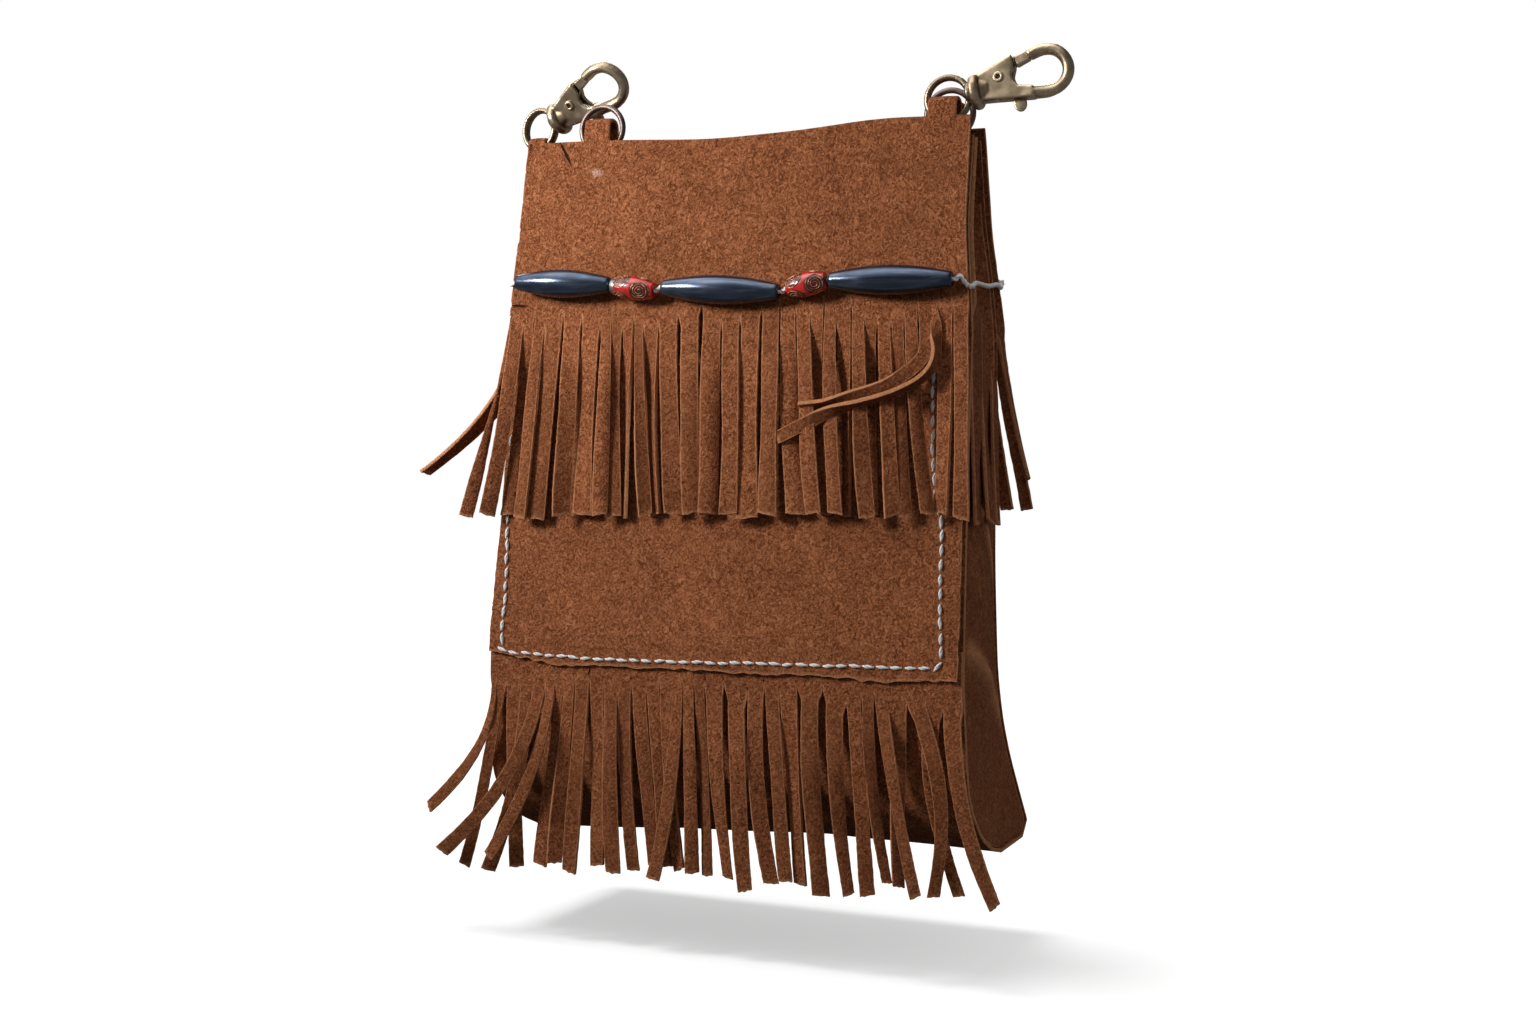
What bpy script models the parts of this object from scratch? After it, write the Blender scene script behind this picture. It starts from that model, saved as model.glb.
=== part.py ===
"""Fringed suede bag that hangs from four loops along its top edge.

Sizes below are in millimetres. X runs along the front from left to right, Y from front to back and Z up.
The origin is the middle of the top edge, where the bag hangs.
"""

import math

import bmesh
import bpy
from mathutils import Matrix, Vector

MM = 0.001

# Clearances between pieces that lie on each other
GAP = 0.3
SUEDE = 1.2

# Pouch: outline seen from the front and from the side
TOP_HALF_WIDTH = 73.0
BASE_HALF_WIDTH = 80.5
BODY_HEIGHT = 221.5
PANEL_TOP_DROP = 4.1
FRONT_TOP_Y = -5.2
BACK_TOP_Y = 4.5
FRONT_BULGE = 4.6
FRONT_CHAMFER_DEPTH = 31.0
FRONT_CHAMFER_RISE = 19.0
BACK_BEAD_LINE_Y = 22.0
BACK_WAIST_Y = 26.5
BACK_POCKET_Y = 34.5
BACK_CORNER_Y = 64.0
BACK_CORNER_RISE = 4.5

# Side gussets
GUSSET_TOP_DROP = 22.0
GUSSET_FOLD = 6.0
GUSSET_FOLD_END = 108.0
GUSSET_RIDGE = 1.6

# Flaps with the upper fringe
FLAP_HEIGHT = 57.0
UPPER_FRINGE_LENGTH = 62.5
UPPER_STRANDS = 32
STRAND_WIDTH = 4.3
STRAND_TIP_WIDTH = 3.9
UPPER_FLARE = 1.10
FLAP_TURN_DROP = 18.0
BACK_FLAP_TOP_Y = 9.1
BACK_FLAP_TURN_DROP = 20.0
BACK_FLAP_BEAD_Y = 31.0
BACK_FLAP_ROOT_Y = 35.0
BACK_FRINGE_TIP_Y = 40.0
SIDE_HEADER_TOP_DROP = 27.0
SIDE_STRANDS = 5
SIDE_FLARE = 3.0

# The one strand that curls out of the left side's fringe
STRAY_REACH = 23.0
STRAY_FORWARD = 9.0
STRAY_RISE = 12.0

# Pocket patch and the lower fringe under its edge
POCKET_TOP_DROP = 72.0
POCKET_BOTTOM_DROP = 168.0
LOWER_HEADER_TOP_DROP = 158.0
PATCH_RAMP_LENGTH = 16.0
LOWER_ROOT_DROP = 172.5
LOWER_FRINGE_LENGTH = 60.0
LOWER_STRANDS = 32
LOWER_FLARE = 1.12
POCKET_STITCH_INSET = 5.2
POCKET_THREAD_RADIUS = 0.45

# Loops along the top edge
TAB_WIDTH = 8.8
TAB_HOLLOW_DEPTH = 5.0
TAB_RISE = 7.7
TAB_LEG_DROP = 16.0
FRONT_LEFT_TAB_X = 25.0 - TOP_HALF_WIDTH
FRONT_RIGHT_TAB_X = TOP_HALF_WIDTH - 6.5
BACK_LEFT_TAB_X = 3.2 - TOP_HALF_WIDTH
BACK_RIGHT_TAB_X = TOP_HALF_WIDTH - 7.5
BACK_LEFT_TAB_WIDTH = 5.5
BACK_LEFT_TAB_RISE = 4.6
BACK_LEFT_TAB_LEAN = -4.8

# Plain rings
RING_OUTER_RADIUS = 8.2
RING_WIRE_RADIUS = 0.95

# Snap clips
CLIP_EYE_HOLE_RADIUS = 5.7
CLIP_EYE_WIRE_RADIUS = 0.8
CLIP_EYE_HALF_DEPTH = 1.4
CLIP_BOSS_RADIUS = 2.9
CLIP_POST_RADIUS = 1.3
CLIP_POST_HEAD_RADIUS = 1.9
CLIP_FLANGE_RADIUS = 5.2
CLIP_FLANGE_LENGTH = 2.5
CLIP_WIRE_RADIUS = 1.5
CLIP_NOSE_HALF_DEPTH = 2.4
CLIP_HALF_DEPTH = 2.5
CLIP_SLOT_HALF_DEPTH = 1.6
CLIP_PIVOT = (7.63, 1.91)
CLIP_LEVER_THICKNESS = 1.2
CLIP_GATE_HALF_DEPTH = 1.4
CLIP_GATE_REACH = 10.35
CLIP_RIVET_RADIUS = 0.95
CLIP_RIVET_BORE = 0.55
CLIP_RIVET_HEAD_RADIUS = 1.5
CLIP_SPRING_RADIUS = 1.75
CLIP_SPRING_WIRE_RADIUS = 0.2
RIGHT_CLIP_EYE_X = TOP_HALF_WIDTH - 5.6
RIGHT_CLIP_EYE_Z = 6.9
RIGHT_CLIP_RISE_DEG = 11.0
LEFT_CLIP_EYE_X = -2.0 - TOP_HALF_WIDTH
LEFT_CLIP_EYE_Z = 7.5
LEFT_CLIP_RISE_DEG = 20.0
LEFT_CLIP_YAW_DEG = -14.0
LEFT_CLIP_SWIVEL_DEG = 33.0

# Outlines in the clip's own plane: first along its axis from the flange, then towards the gate
HOUSING_OUTLINE = [
    (1.0, 4.0), (12.1, 7.5), (12.4, 4.3), (11.3, 1.6), (11.6, 0.0), (12.8, -1.9), (17.0, -3.0),
    (17.0, -6.1), (10.3, -4.95), (1.0, -3.3),
]
SLOT_OUTLINE = [(4.9, 2.9), (13.6, 6.9), (15.0, 3.0), (15.0, -9.0), (6.2, -9.0), (6.2, -3.0), (4.9, 0.0)]
HOOK_CENTRELINE = [
    (13.0, -3.9), (17.0, -4.65), (20.5, -5.25), (23.6, -5.05), (26.2, -3.6), (27.7, -1.3), (27.95, 1.3),
    (27.0, 4.0), (25.0, 6.2), (22.3, 7.2), (19.8, 7.15), (16.9, 6.5),
]
GATE_OUTLINE = [(12.8, 7.05), (16.9, 7.75), (17.9, 5.4), (13.3, 4.1)]
LEVER_OUTLINE = [
    (5.4, 1.5), (6.2, 3.1), (12.7, 6.0), (14.2, 6.2), (14.4, 4.9), (13.0, 4.5), (9.6, 1.6), (9.9, 0.3),
    (12.3, -2.0), (14.0, -5.2), (14.0, -7.2), (13.5, -8.3), (12.6, -8.9), (11.6, -8.8), (10.8, -8.1),
    (10.4, -7.0), (10.6, -5.0), (6.4, 0.0),
]

# Beads on their thread
BEAD_DROP = 48.0
LONG_BEAD_RADIUS = 4.5
LONG_BEAD_END_RADIUS = 2.35
SHORT_BEAD_RADIUS = 3.75
SHORT_BEAD_END_RADIUS = 2.3
BEAD_BORE_RADIUS = 0.95
BEAD_THREAD_RADIUS = 0.6
THREAD_RISE_BEHIND = 6.0

# Each bead: where it starts along the front, its length, how far its middle hangs down, and its slope
BEADS = {
    "bead_1": (-72.4, 33.4, 46.5, 2.6),
    "bead_2": (-38.2, 14.9, 48.5, 7.0),
    "bead_3": (-20.8, 39.0, 49.7, 3.2),
    "bead_4": (20.8, 13.0, 48.7, -10.3),
    "bead_5": (34.4, 38.2, 48.1, 0.9),
}
SHORT_BEADS = ("bead_2", "bead_4")

# Worked-out levels, measured up from the top edge
PANEL_TOP = -PANEL_TOP_DROP
BASE = -BODY_HEIGHT
ROOT = -FLAP_HEIGHT
UPPER_TIP = ROOT - UPPER_FRINGE_LENGTH
POCKET_BOTTOM = -POCKET_BOTTOM_DROP
LOWER_ROOT = -LOWER_ROOT_DROP
LOWER_TIP = LOWER_ROOT - LOWER_FRINGE_LENGTH
PATCH_OUT = GAP + SUEDE
FLAP_OUT = 2 * PATCH_OUT
TAB_HALF_DEPTH = TAB_HOLLOW_DEPTH / 2 + SUEDE
FLAP_TOP_OUT = TAB_HALF_DEPTH + GAP + SUEDE - SUEDE / 2


def clear_scene():
    for obj in list(bpy.data.objects):
        bpy.data.objects.remove(obj, do_unlink=True)


def add_object(name, verts, faces, origin=(0.0, 0.0, 0.0), smooth=True):
    """Makes a mesh object from points in millimetres, with its origin at the given point."""
    start = Vector(origin)
    mesh = bpy.data.meshes.new(name)
    mesh.from_pydata([tuple((Vector(v) - start) * MM) for v in verts], [], [tuple(f) for f in faces])
    work = bmesh.new()
    work.from_mesh(mesh)
    bmesh.ops.recalc_face_normals(work, faces=work.faces)
    work.to_mesh(mesh)
    work.free()
    for polygon in mesh.polygons:
        polygon.use_smooth = smooth
    obj = bpy.data.objects.new(name, mesh)
    obj.location = start * MM
    bpy.context.scene.collection.objects.link(obj)
    return obj


def set_material(obj, material):
    obj.data.materials.clear()
    obj.data.materials.append(material)


def hide_helper(obj):
    obj.hide_render = True
    obj.display_type = "WIRE"


def boolean(obj, helper, operation):
    modifier = obj.modifiers.new(f"{operation.lower()} {helper.name}", "BOOLEAN")
    modifier.operation = operation
    modifier.solver = "EXACT"
    modifier.object = helper
    hide_helper(helper)


# Interpolation and paths
def along(table, x):
    """Value at x from a table of (x, value) pairs, with straight lines between them."""
    rows = sorted(table)
    if x <= rows[0][0]:
        return rows[0][1]
    for (x0, y0), (x1, y1) in zip(rows, rows[1:]):
        if x <= x1:
            return y0 + (y1 - y0) * (x - x0) / max(x1 - x0, 1e-9)
    return rows[-1][1]


def smooth_path(points, steps):
    """A curve through the points, with the given number of steps between each pair."""
    pts = [Vector(p) for p in points]
    ext = [2 * pts[0] - pts[1]] + pts + [2 * pts[-1] - pts[-2]]
    path = []
    for i in range(1, len(ext) - 2):
        a, b, c, d = ext[i - 1:i + 3]
        for k in range(steps):
            t = k / steps
            path.append(
                0.5 * (2 * b + (c - a) * t + (2 * a - 5 * b + 4 * c - d) * t * t + (3 * b - a - 3 * c + d) * t ** 3)
            )
    path.append(pts[-1])
    return path


def offset_path(path, distance):
    """The flat path moved sideways, to its left as it runs."""
    moved = []
    for i, p in enumerate(path):
        before = (p - path[i - 1]).normalized() if i else (path[1] - p).normalized()
        after = (path[i + 1] - p).normalized() if i < len(path) - 1 else before
        left = Vector((-(before.y + after.y), before.x + after.x)).normalized()
        turn = max(0.5, left.dot(Vector((-before.y, before.x))))
        moved.append(p + left * distance / turn)
    return moved


# Pouch profile in the plane of Y and Z, from the front's top edge down, under and up the back
def half_width(z):
    return TOP_HALF_WIDTH + (BASE_HALF_WIDTH - TOP_HALF_WIDTH) * min(1.0, -z / BODY_HEIGHT)


def pouch_path():
    low_front = FRONT_TOP_Y - FRONT_BULGE
    front = [
        (FRONT_TOP_Y, PANEL_TOP),
        (FRONT_TOP_Y - 0.22 * FRONT_BULGE, -0.2 * BODY_HEIGHT),
        (low_front + 0.3, -0.45 * BODY_HEIGHT),
        (low_front, -0.68 * BODY_HEIGHT),
        (low_front + 0.6, BASE + FRONT_CHAMFER_RISE + 14.0),
        (low_front + 2.6, BASE + FRONT_CHAMFER_RISE),
        (low_front + 13.0, BASE + 0.42 * FRONT_CHAMFER_RISE),
        (low_front + 0.8 * FRONT_CHAMFER_DEPTH, BASE + 0.12 * FRONT_CHAMFER_RISE),
    ]
    back = [
        (BACK_CORNER_Y, BASE + BACK_CORNER_RISE),
        (BACK_CORNER_Y - 10.0, BASE + 17.5),
        (BACK_CORNER_Y - 20.5, BASE + 31.5),
        (BACK_POCKET_Y + 2.0, BASE + 45.5),
        (BACK_POCKET_Y - 5.0, -0.65 * BODY_HEIGHT),
        (BACK_WAIST_Y, -0.54 * BODY_HEIGHT),
        (0.5 * (BACK_WAIST_Y + BACK_BEAD_LINE_Y) + 0.6, -0.36 * BODY_HEIGHT),
        (BACK_BEAD_LINE_Y, -43.0),
        (BACK_TOP_Y + 0.45 * (BACK_BEAD_LINE_Y - BACK_TOP_Y), -20.0),
        (BACK_TOP_Y, PANEL_TOP),
    ]
    flat = [
        Vector((low_front + FRONT_CHAMFER_DEPTH + 5.0, BASE)),
        Vector((0.5 * (low_front + FRONT_CHAMFER_DEPTH + BACK_CORNER_Y), BASE)),
        Vector((BACK_CORNER_Y - 8.0, BASE)),
    ]
    return smooth_path(front, 2) + flat + smooth_path(back, 2)


POUCH = pouch_path()
POUCH_INSIDE = offset_path(POUCH, SUEDE)
GUSSET_LINE = offset_path(POUCH, SUEDE + GAP)
CENTRE_Y = 0.5 * (FRONT_TOP_Y - FRONT_BULGE + FRONT_CHAMFER_DEPTH + BACK_CORNER_Y)


def side_of(path, front):
    lowest = min(p.y for p in path)
    middle = next(i for i, p in enumerate(path) if p.y < lowest + 1e-6)
    last = max(i for i, p in enumerate(path) if p.y < lowest + 1e-6)
    part = path[:middle + 1] if front else path[last:]
    return [(p.y, p.x) for p in part]


FRONT_SIDE = side_of(POUCH, True)
BACK_SIDE = side_of(POUCH, False)
GUSSET_FRONT = side_of(GUSSET_LINE, True)
GUSSET_BACK = side_of(GUSSET_LINE, False)


def front_y(z):
    return along(FRONT_SIDE, z)


def back_y(z):
    return along(BACK_SIDE, z)


# Sheets of suede
def thick_sheet(name, outer, inner, quads):
    """A closed sheet from its outer points, its inner points and the faces between the outer ones."""
    count = len(outer)
    faces = [tuple(q) for q in quads]
    faces += [tuple(count + i for i in reversed(q)) for q in quads]
    edges = {(a, b) for q in quads for a, b in zip(q, q[1:] + q[:1])}
    for a, b in sorted(edges):
        if (b, a) not in edges:
            faces.append((b, a, count + a, count + b))
    return add_object(name, list(outer) + list(inner), faces, smooth=False)


def grid_quads(rows, cols, start=0):
    return [
        (start + r * cols + c, start + (r + 1) * cols + c, start + (r + 1) * cols + c + 1, start + r * cols + c + 1)
        for r in range(rows - 1)
        for c in range(cols - 1)
    ]


def grid_sheet(name, rows, outer_at, inner_at, columns):
    outer = [outer_at(r, c) for r in rows for c in columns]
    inner = [inner_at(r, c) for r in rows for c in columns]
    return thick_sheet(name, outer, inner, grid_quads(len(rows), len(columns)))


def spaced(start, end, steps):
    return [start + (end - start) * i / steps for i in range(steps + 1)]


def make_body_wrap():
    outer = []
    inner = []
    for p, q in zip(POUCH, POUCH_INSIDE):
        for side in (-1, 0, 1):
            outer.append((side * half_width(p.y), p.x, p.y))
            inner.append((side * half_width(p.y), q.x, q.y))
    return thick_sheet("body_wrap", outer, inner, grid_quads(len(POUCH), 3))


def fold_in(z):
    """How far the middle of a gusset is folded inwards; below nothing it stands out as a ridge."""
    table = [
        (-GUSSET_FOLD_END - 95.0, 0.0),
        (-GUSSET_FOLD_END - 30.0, -GUSSET_RIDGE),
        (-GUSSET_FOLD_END, 0.0),
        (-BEAD_DROP, 0.85 * GUSSET_FOLD),
        (-GUSSET_TOP_DROP, GUSSET_FOLD),
    ]
    return along(table, z)


def gusset_point(side, z, share, out, tuck=0.0):
    """A point on a gusset: share runs from 0 at the front seam to 1 at the back one."""
    y0 = along(GUSSET_FRONT, z) + tuck
    y1 = along(GUSSET_BACK, z) - tuck
    x = half_width(z) - 0.5 + out - fold_in(z) * math.sin(math.pi * share)
    return (side * x, y0 + (y1 - y0) * share, z)


def make_gusset(name, side):
    lowest = min(p.y for p in GUSSET_LINE) + 0.1
    rows = [-GUSSET_TOP_DROP]
    for z in sorted((p.y for p in GUSSET_LINE), reverse=True):
        if rows[-1] - 1.0 > z > lowest + 1.0:
            rows.append(z)
    rows.append(lowest)
    return grid_sheet(
        name,
        rows,
        lambda z, t: gusset_point(side, z, t, 0.0),
        lambda z, t: gusset_point(side, z, t, -SUEDE),
        spaced(0.0, 1.0, 6),
    )


# Fringes: a header with strands below it, all cut from one sheet
def strand_sway(index):
    return 0.35 * math.sin(2.3 * index + 0.7)


def strand_lift(index):
    return 0.5 + 0.5 * math.sin(1.7 * index)


def fringed_sheet(name, count, header_rows, strand_rows, edge_at, outer_at, inner_at):
    """edge_at gives a strand edge's place along the row, outer_at and inner_at the points there."""
    outer = []
    inner = []
    quads = []
    places = [(i, side) for i in range(count) for side in (-1, 1)]
    for z in header_rows:
        for i, side in places:
            at = edge_at(i, side, z, 0.0)
            outer.append(outer_at(at, z, i, 0.0))
            inner.append(inner_at(at, z, i, 0.0))
    quads += grid_quads(len(header_rows), len(places))
    root_row = (len(header_rows) - 1) * len(places)
    root = header_rows[-1]
    for i in range(count):
        last = [root_row + 2 * i, root_row + 2 * i + 1]
        for z in strand_rows:
            share = (root - z) / (root - strand_rows[-1])
            new = []
            for side in (-1, 1):
                at = edge_at(i, side, z, share)
                new.append(len(outer))
                outer.append(outer_at(at, z, i, share))
                inner.append(inner_at(at, z, i, share))
            quads.append((last[0], new[0], new[1], last[1]))
            last = new
    return thick_sheet(name, outer, inner, quads)


def strand_edges(count, half_span, flare):
    """Places of the strand edges across a flat fringe whose header is as wide as half_span says."""
    def edge(index, side, z, share):
        pitch = 2 * half_span(z) / count
        middle = (index + 0.5) * pitch - half_span(z)
        width = STRAND_WIDTH + (STRAND_TIP_WIDTH - STRAND_WIDTH) * share
        half = min(width, pitch - 0.35) / 2
        if share == 0.0 and (index, side) in ((0, -1), (count - 1, 1)):
            return side * half_span(z)
        return middle * (1 + (flare - 1) * share ** 1.6) + strand_sway(index) * share + side * half
    return edge


def flap_out(z):
    return along([(-FLAP_TURN_DROP, FLAP_OUT), (0.0, FLAP_TOP_OUT)], z)


def make_front_fringe():
    def outer_at(x, z, index, share):
        lift = 1.6 * strand_lift(index) * share ** 2
        return (x, front_y(z) - flap_out(z) - lift, z)

    def inner_at(x, z, index, share):
        lift = 1.6 * strand_lift(index) * share ** 2
        return (x, front_y(z) - flap_out(z) + SUEDE - lift, z)

    return fringed_sheet(
        "front_fringe",
        UPPER_STRANDS,
        [0.0, -0.5 * FLAP_TURN_DROP, -FLAP_TURN_DROP, -0.65 * FLAP_HEIGHT, ROOT],
        spaced(ROOT, UPPER_TIP, 5)[1:],
        strand_edges(UPPER_STRANDS, half_width, UPPER_FLARE),
        outer_at,
        inner_at,
    )


def back_flap_y(z):
    table = [
        (UPPER_TIP, BACK_FRINGE_TIP_Y),
        (ROOT, BACK_FLAP_ROOT_Y),
        (-BEAD_DROP, BACK_FLAP_BEAD_Y + 1.4),
        (-BACK_FLAP_TURN_DROP, BACK_FLAP_TOP_Y + 0.5 * (BACK_FLAP_BEAD_Y - BACK_FLAP_TOP_Y)),
        (0.0, BACK_FLAP_TOP_Y),
    ]
    return along(table, z)


def make_back_fringe():
    def outer_at(x, z, index, share):
        return (x, back_flap_y(z) + 1.6 * strand_lift(index) * share ** 2, z)

    def inner_at(x, z, index, share):
        return (x, back_flap_y(z) - SUEDE - 0.15 + 1.6 * strand_lift(index) * share ** 2, z)

    return fringed_sheet(
        "back_fringe",
        UPPER_STRANDS,
        [0.0, -0.5 * BACK_FLAP_TURN_DROP, -BACK_FLAP_TURN_DROP, -BEAD_DROP, ROOT],
        spaced(ROOT, UPPER_TIP, 5)[1:],
        strand_edges(UPPER_STRANDS, half_width, UPPER_FLARE),
        outer_at,
        inner_at,
    )


def make_side_fringe(name, side):
    def edge(index, end, z, share):
        if share == 0.0 and (index, end) in ((0, -1), (SIDE_STRANDS - 1, 1)):
            return 0.0 if index == 0 else 1.0
        half = 0.42 if share == 0.0 else 0.40
        return (index + 0.5 + half * end) / SIDE_STRANDS

    def strand_point(at, z, index, share, depth):
        x, y, level = gusset_point(side, z, at, GAP + depth + SIDE_FLARE * share ** 1.5, 0.5)
        if side > 0 or index > 0:
            return (x, y, level)
        curl = share ** 1.7
        return (x + side * STRAY_REACH * curl, y - STRAY_FORWARD * curl, level + STRAY_RISE * share ** 2)

    def outer_at(at, z, index, share):
        return strand_point(at, z, index, share, SUEDE)

    def inner_at(at, z, index, share):
        return strand_point(at, z, index, share, 0.0)

    return fringed_sheet(
        name,
        SIDE_STRANDS,
        spaced(-SIDE_HEADER_TOP_DROP, ROOT, 3),
        spaced(ROOT, UPPER_TIP, 5)[1:],
        edge,
        outer_at,
        inner_at,
    )


def patch_out(z):
    top = -LOWER_HEADER_TOP_DROP
    return along([(top, 2 * PATCH_OUT), (top + PATCH_RAMP_LENGTH, PATCH_OUT)], z)


def make_pocket_patch():
    ramp = PATCH_RAMP_LENGTH - LOWER_HEADER_TOP_DROP
    rows = spaced(-POCKET_TOP_DROP, ramp, 6)
    rows += spaced(ramp, -LOWER_HEADER_TOP_DROP, 3)[1:]
    rows += spaced(-LOWER_HEADER_TOP_DROP, POCKET_BOTTOM, 1)[1:]
    return grid_sheet(
        "pocket_patch",
        rows,
        lambda z, t: (t * half_width(z), front_y(z) - patch_out(z), z),
        lambda z, t: (t * half_width(z), front_y(z) - patch_out(z) + SUEDE, z),
        (-1.0, 0.0, 1.0),
    )


def make_lower_fringe():
    def y_at(z, index, share):
        flat = min(front_y(z), front_y(LOWER_ROOT))
        return flat - PATCH_OUT - 1.2 * strand_lift(index) * share ** 2

    return fringed_sheet(
        "lower_fringe",
        LOWER_STRANDS,
        [-LOWER_HEADER_TOP_DROP, LOWER_ROOT],
        spaced(LOWER_ROOT, LOWER_TIP, 5)[1:],
        strand_edges(LOWER_STRANDS, half_width, LOWER_FLARE),
        lambda x, z, index, share: (x, y_at(z, index, share), z),
        lambda x, z, index, share: (x, y_at(z, index, share) + SUEDE, z),
    )


# Round pieces
def frames_along(path, closed):
    """Two directions across the path at each of its points, carried along without twist."""
    count = len(path)
    tangents = []
    for i in range(count):
        before = path[i - 1] if closed or i else path[i]
        after = path[(i + 1) % count] if closed or i < count - 1 else path[i]
        tangents.append((after - before).normalized())
    first = tangents[0].orthogonal().normalized()
    frames = []
    side = first
    for tangent in tangents:
        side = (side - tangent * side.dot(tangent)).normalized()
        frames.append((side, tangent.cross(side)))
    return frames


def tube_mesh(path, radius, sides, closed=False):
    points = [Vector(p) for p in path]
    verts = []
    for p, (a, b) in zip(points, frames_along(points, closed)):
        for k in range(sides):
            angle = 2 * math.pi * k / sides
            verts.append(p + (a * math.cos(angle) + b * math.sin(angle)) * radius)
    rings = len(points)
    faces = []
    for r in range(rings if closed else rings - 1):
        low = r * sides
        high = ((r + 1) % rings) * sides
        for k in range(sides):
            n = (k + 1) % sides
            faces.append((low + k, low + n, high + n, high + k))
    if not closed:
        faces.append(tuple(reversed(range(sides))))
        faces.append(tuple(range((rings - 1) * sides, rings * sides)))
    return verts, faces


def turned_mesh(profile, sides, axis, across, centre):
    """Turns (distance along the axis, radius) pairs; a closed profile with no point on the axis gives a tube."""
    along_axis = Vector(axis).normalized()
    a = Vector(across).normalized()
    b = along_axis.cross(a)
    start = Vector(centre)
    closed = all(radius > 1e-6 for _, radius in profile)
    verts = []
    rings = []
    for distance, radius in profile:
        if radius <= 1e-6:
            rings.append([len(verts)])
            verts.append(start + along_axis * distance)
            continue
        rings.append(list(range(len(verts), len(verts) + sides)))
        for k in range(sides):
            angle = 2 * math.pi * k / sides
            verts.append(start + along_axis * distance + (a * math.cos(angle) + b * math.sin(angle)) * radius)
    faces = []
    pairs = list(zip(rings, rings[1:] + rings[:1])) if closed else list(zip(rings, rings[1:]))
    for low, high in pairs:
        for k in range(sides):
            n = (k + 1) % sides
            if len(low) == 1:
                faces.append((low[0], high[n], high[k]))
            elif len(high) == 1:
                faces.append((low[k], low[n], high[0]))
            else:
                faces.append((low[k], low[n], high[n], high[k]))
    return verts, faces


def prism_mesh(outline, low, high):
    """A plate in the clip's plane; low and high are its faces across that plane."""
    count = len(outline)
    verts = [(u, v, low) for u, v in outline] + [(u, v, high) for u, v in outline]
    faces = [tuple(reversed(range(count))), tuple(range(count, 2 * count))]
    faces += [(i, (i + 1) % count, count + (i + 1) % count, count + i) for i in range(count)]
    return verts, faces


# Loops along the top edge
def tab_path(y_panel, panel_y, rise):
    """Centreline of a loop round the panel's top edge, from the front leg over to the back one."""
    leg = SUEDE / 2 + GAP + SUEDE / 2
    wide = TAB_HOLLOW_DEPTH / 2 + SUEDE / 2
    top = rise - SUEDE / 2
    half = [
        (leg + 0.25, -TAB_LEG_DROP),
        (leg + 0.2, PANEL_TOP - 3.6),
        (leg + 0.5 * (wide - leg), PANEL_TOP + 0.5),
        (wide, PANEL_TOP + 4.2),
        (1.02 * wide, 0.55 * top),
        (0.78 * wide, 0.90 * top),
    ]

    def lean(z):
        return panel_y(min(z, PANEL_TOP)) - panel_y(PANEL_TOP)

    points = [(y_panel + lean(z) - y, z) for y, z in half]
    points.append((y_panel, top))
    points += [(y_panel + lean(z) + y, z) for y, z in reversed(half)]
    return smooth_path([Vector(p) for p in points], 2)


def make_tab(name, x, y_panel, panel_y, width=TAB_WIDTH, rise=TAB_RISE, lean=0.0):
    path = tab_path(y_panel, panel_y, rise)
    sides = (offset_path(path, SUEDE / 2), offset_path(path, -SUEDE / 2))
    columns = (-0.5 * width, 0.5 * width)

    def points(line):
        found = []
        for p in line:
            shift = lean * min(1.0, max(0.0, (p.y - PANEL_TOP) / (rise - 1.5 - PANEL_TOP)))
            found += [(x + shift + c, p.x, p.y) for c in columns]
        return found

    return thick_sheet(name, points(sides[0]), points(sides[1]), grid_quads(len(path), 2))


FRONT_RING_Y = FRONT_TOP_Y + SUEDE / 2
BACK_RING_Y = BACK_TOP_Y - SUEDE / 2


def make_ring(name, x, y):
    middle = RING_OUTER_RADIUS - RING_WIRE_RADIUS
    centre_z = PANEL_TOP + GAP + RING_OUTER_RADIUS
    path = [
        Vector((x + middle * math.cos(a), y, centre_z + middle * math.sin(a)))
        for a in spaced(0.0, 2 * math.pi, 28)[:-1]
    ]
    verts, faces = tube_mesh(path, RING_WIRE_RADIUS, 8, closed=True)
    hinge = (x, y, centre_z - middle)
    return add_object(name, verts, faces, hinge)


# Snap clips, drawn in their own frame: x along the clip, y towards the gate, z across it
EYE_TO_FLANGE = CLIP_EYE_HOLE_RADIUS + 2 * CLIP_EYE_WIRE_RADIUS + GAP + CLIP_FLANGE_LENGTH / 2
EYE_MIDDLE_RADIUS = CLIP_EYE_HOLE_RADIUS + CLIP_EYE_WIRE_RADIUS
FLANGE_START = -CLIP_FLANGE_LENGTH / 2
BORE_DEPTH = 3.6


def placed(verts, matrix):
    return [matrix @ Vector(v) for v in verts]


def clip_frames(eye_centre, rise_deg, yaw_deg, swivel_deg):
    """Matrices from the clip's frame to the bag's: one for the eye and one for the hook turned on its swivel."""
    direction = Vector((
        math.cos(math.radians(rise_deg)) * math.cos(math.radians(yaw_deg)),
        math.cos(math.radians(rise_deg)) * math.sin(math.radians(yaw_deg)),
        math.sin(math.radians(rise_deg)),
    ))
    upward = (Vector((0, 0, 1)) - direction * direction.z).normalized()
    across = direction.cross(upward)
    basis = Matrix((direction, upward, across)).transposed().to_4x4()
    flange = Vector(eye_centre) + direction * EYE_TO_FLANGE
    eye = Matrix.Translation(flange) @ basis
    hook = eye @ Matrix.Rotation(math.radians(swivel_deg), 4, "X")
    return eye, hook


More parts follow.
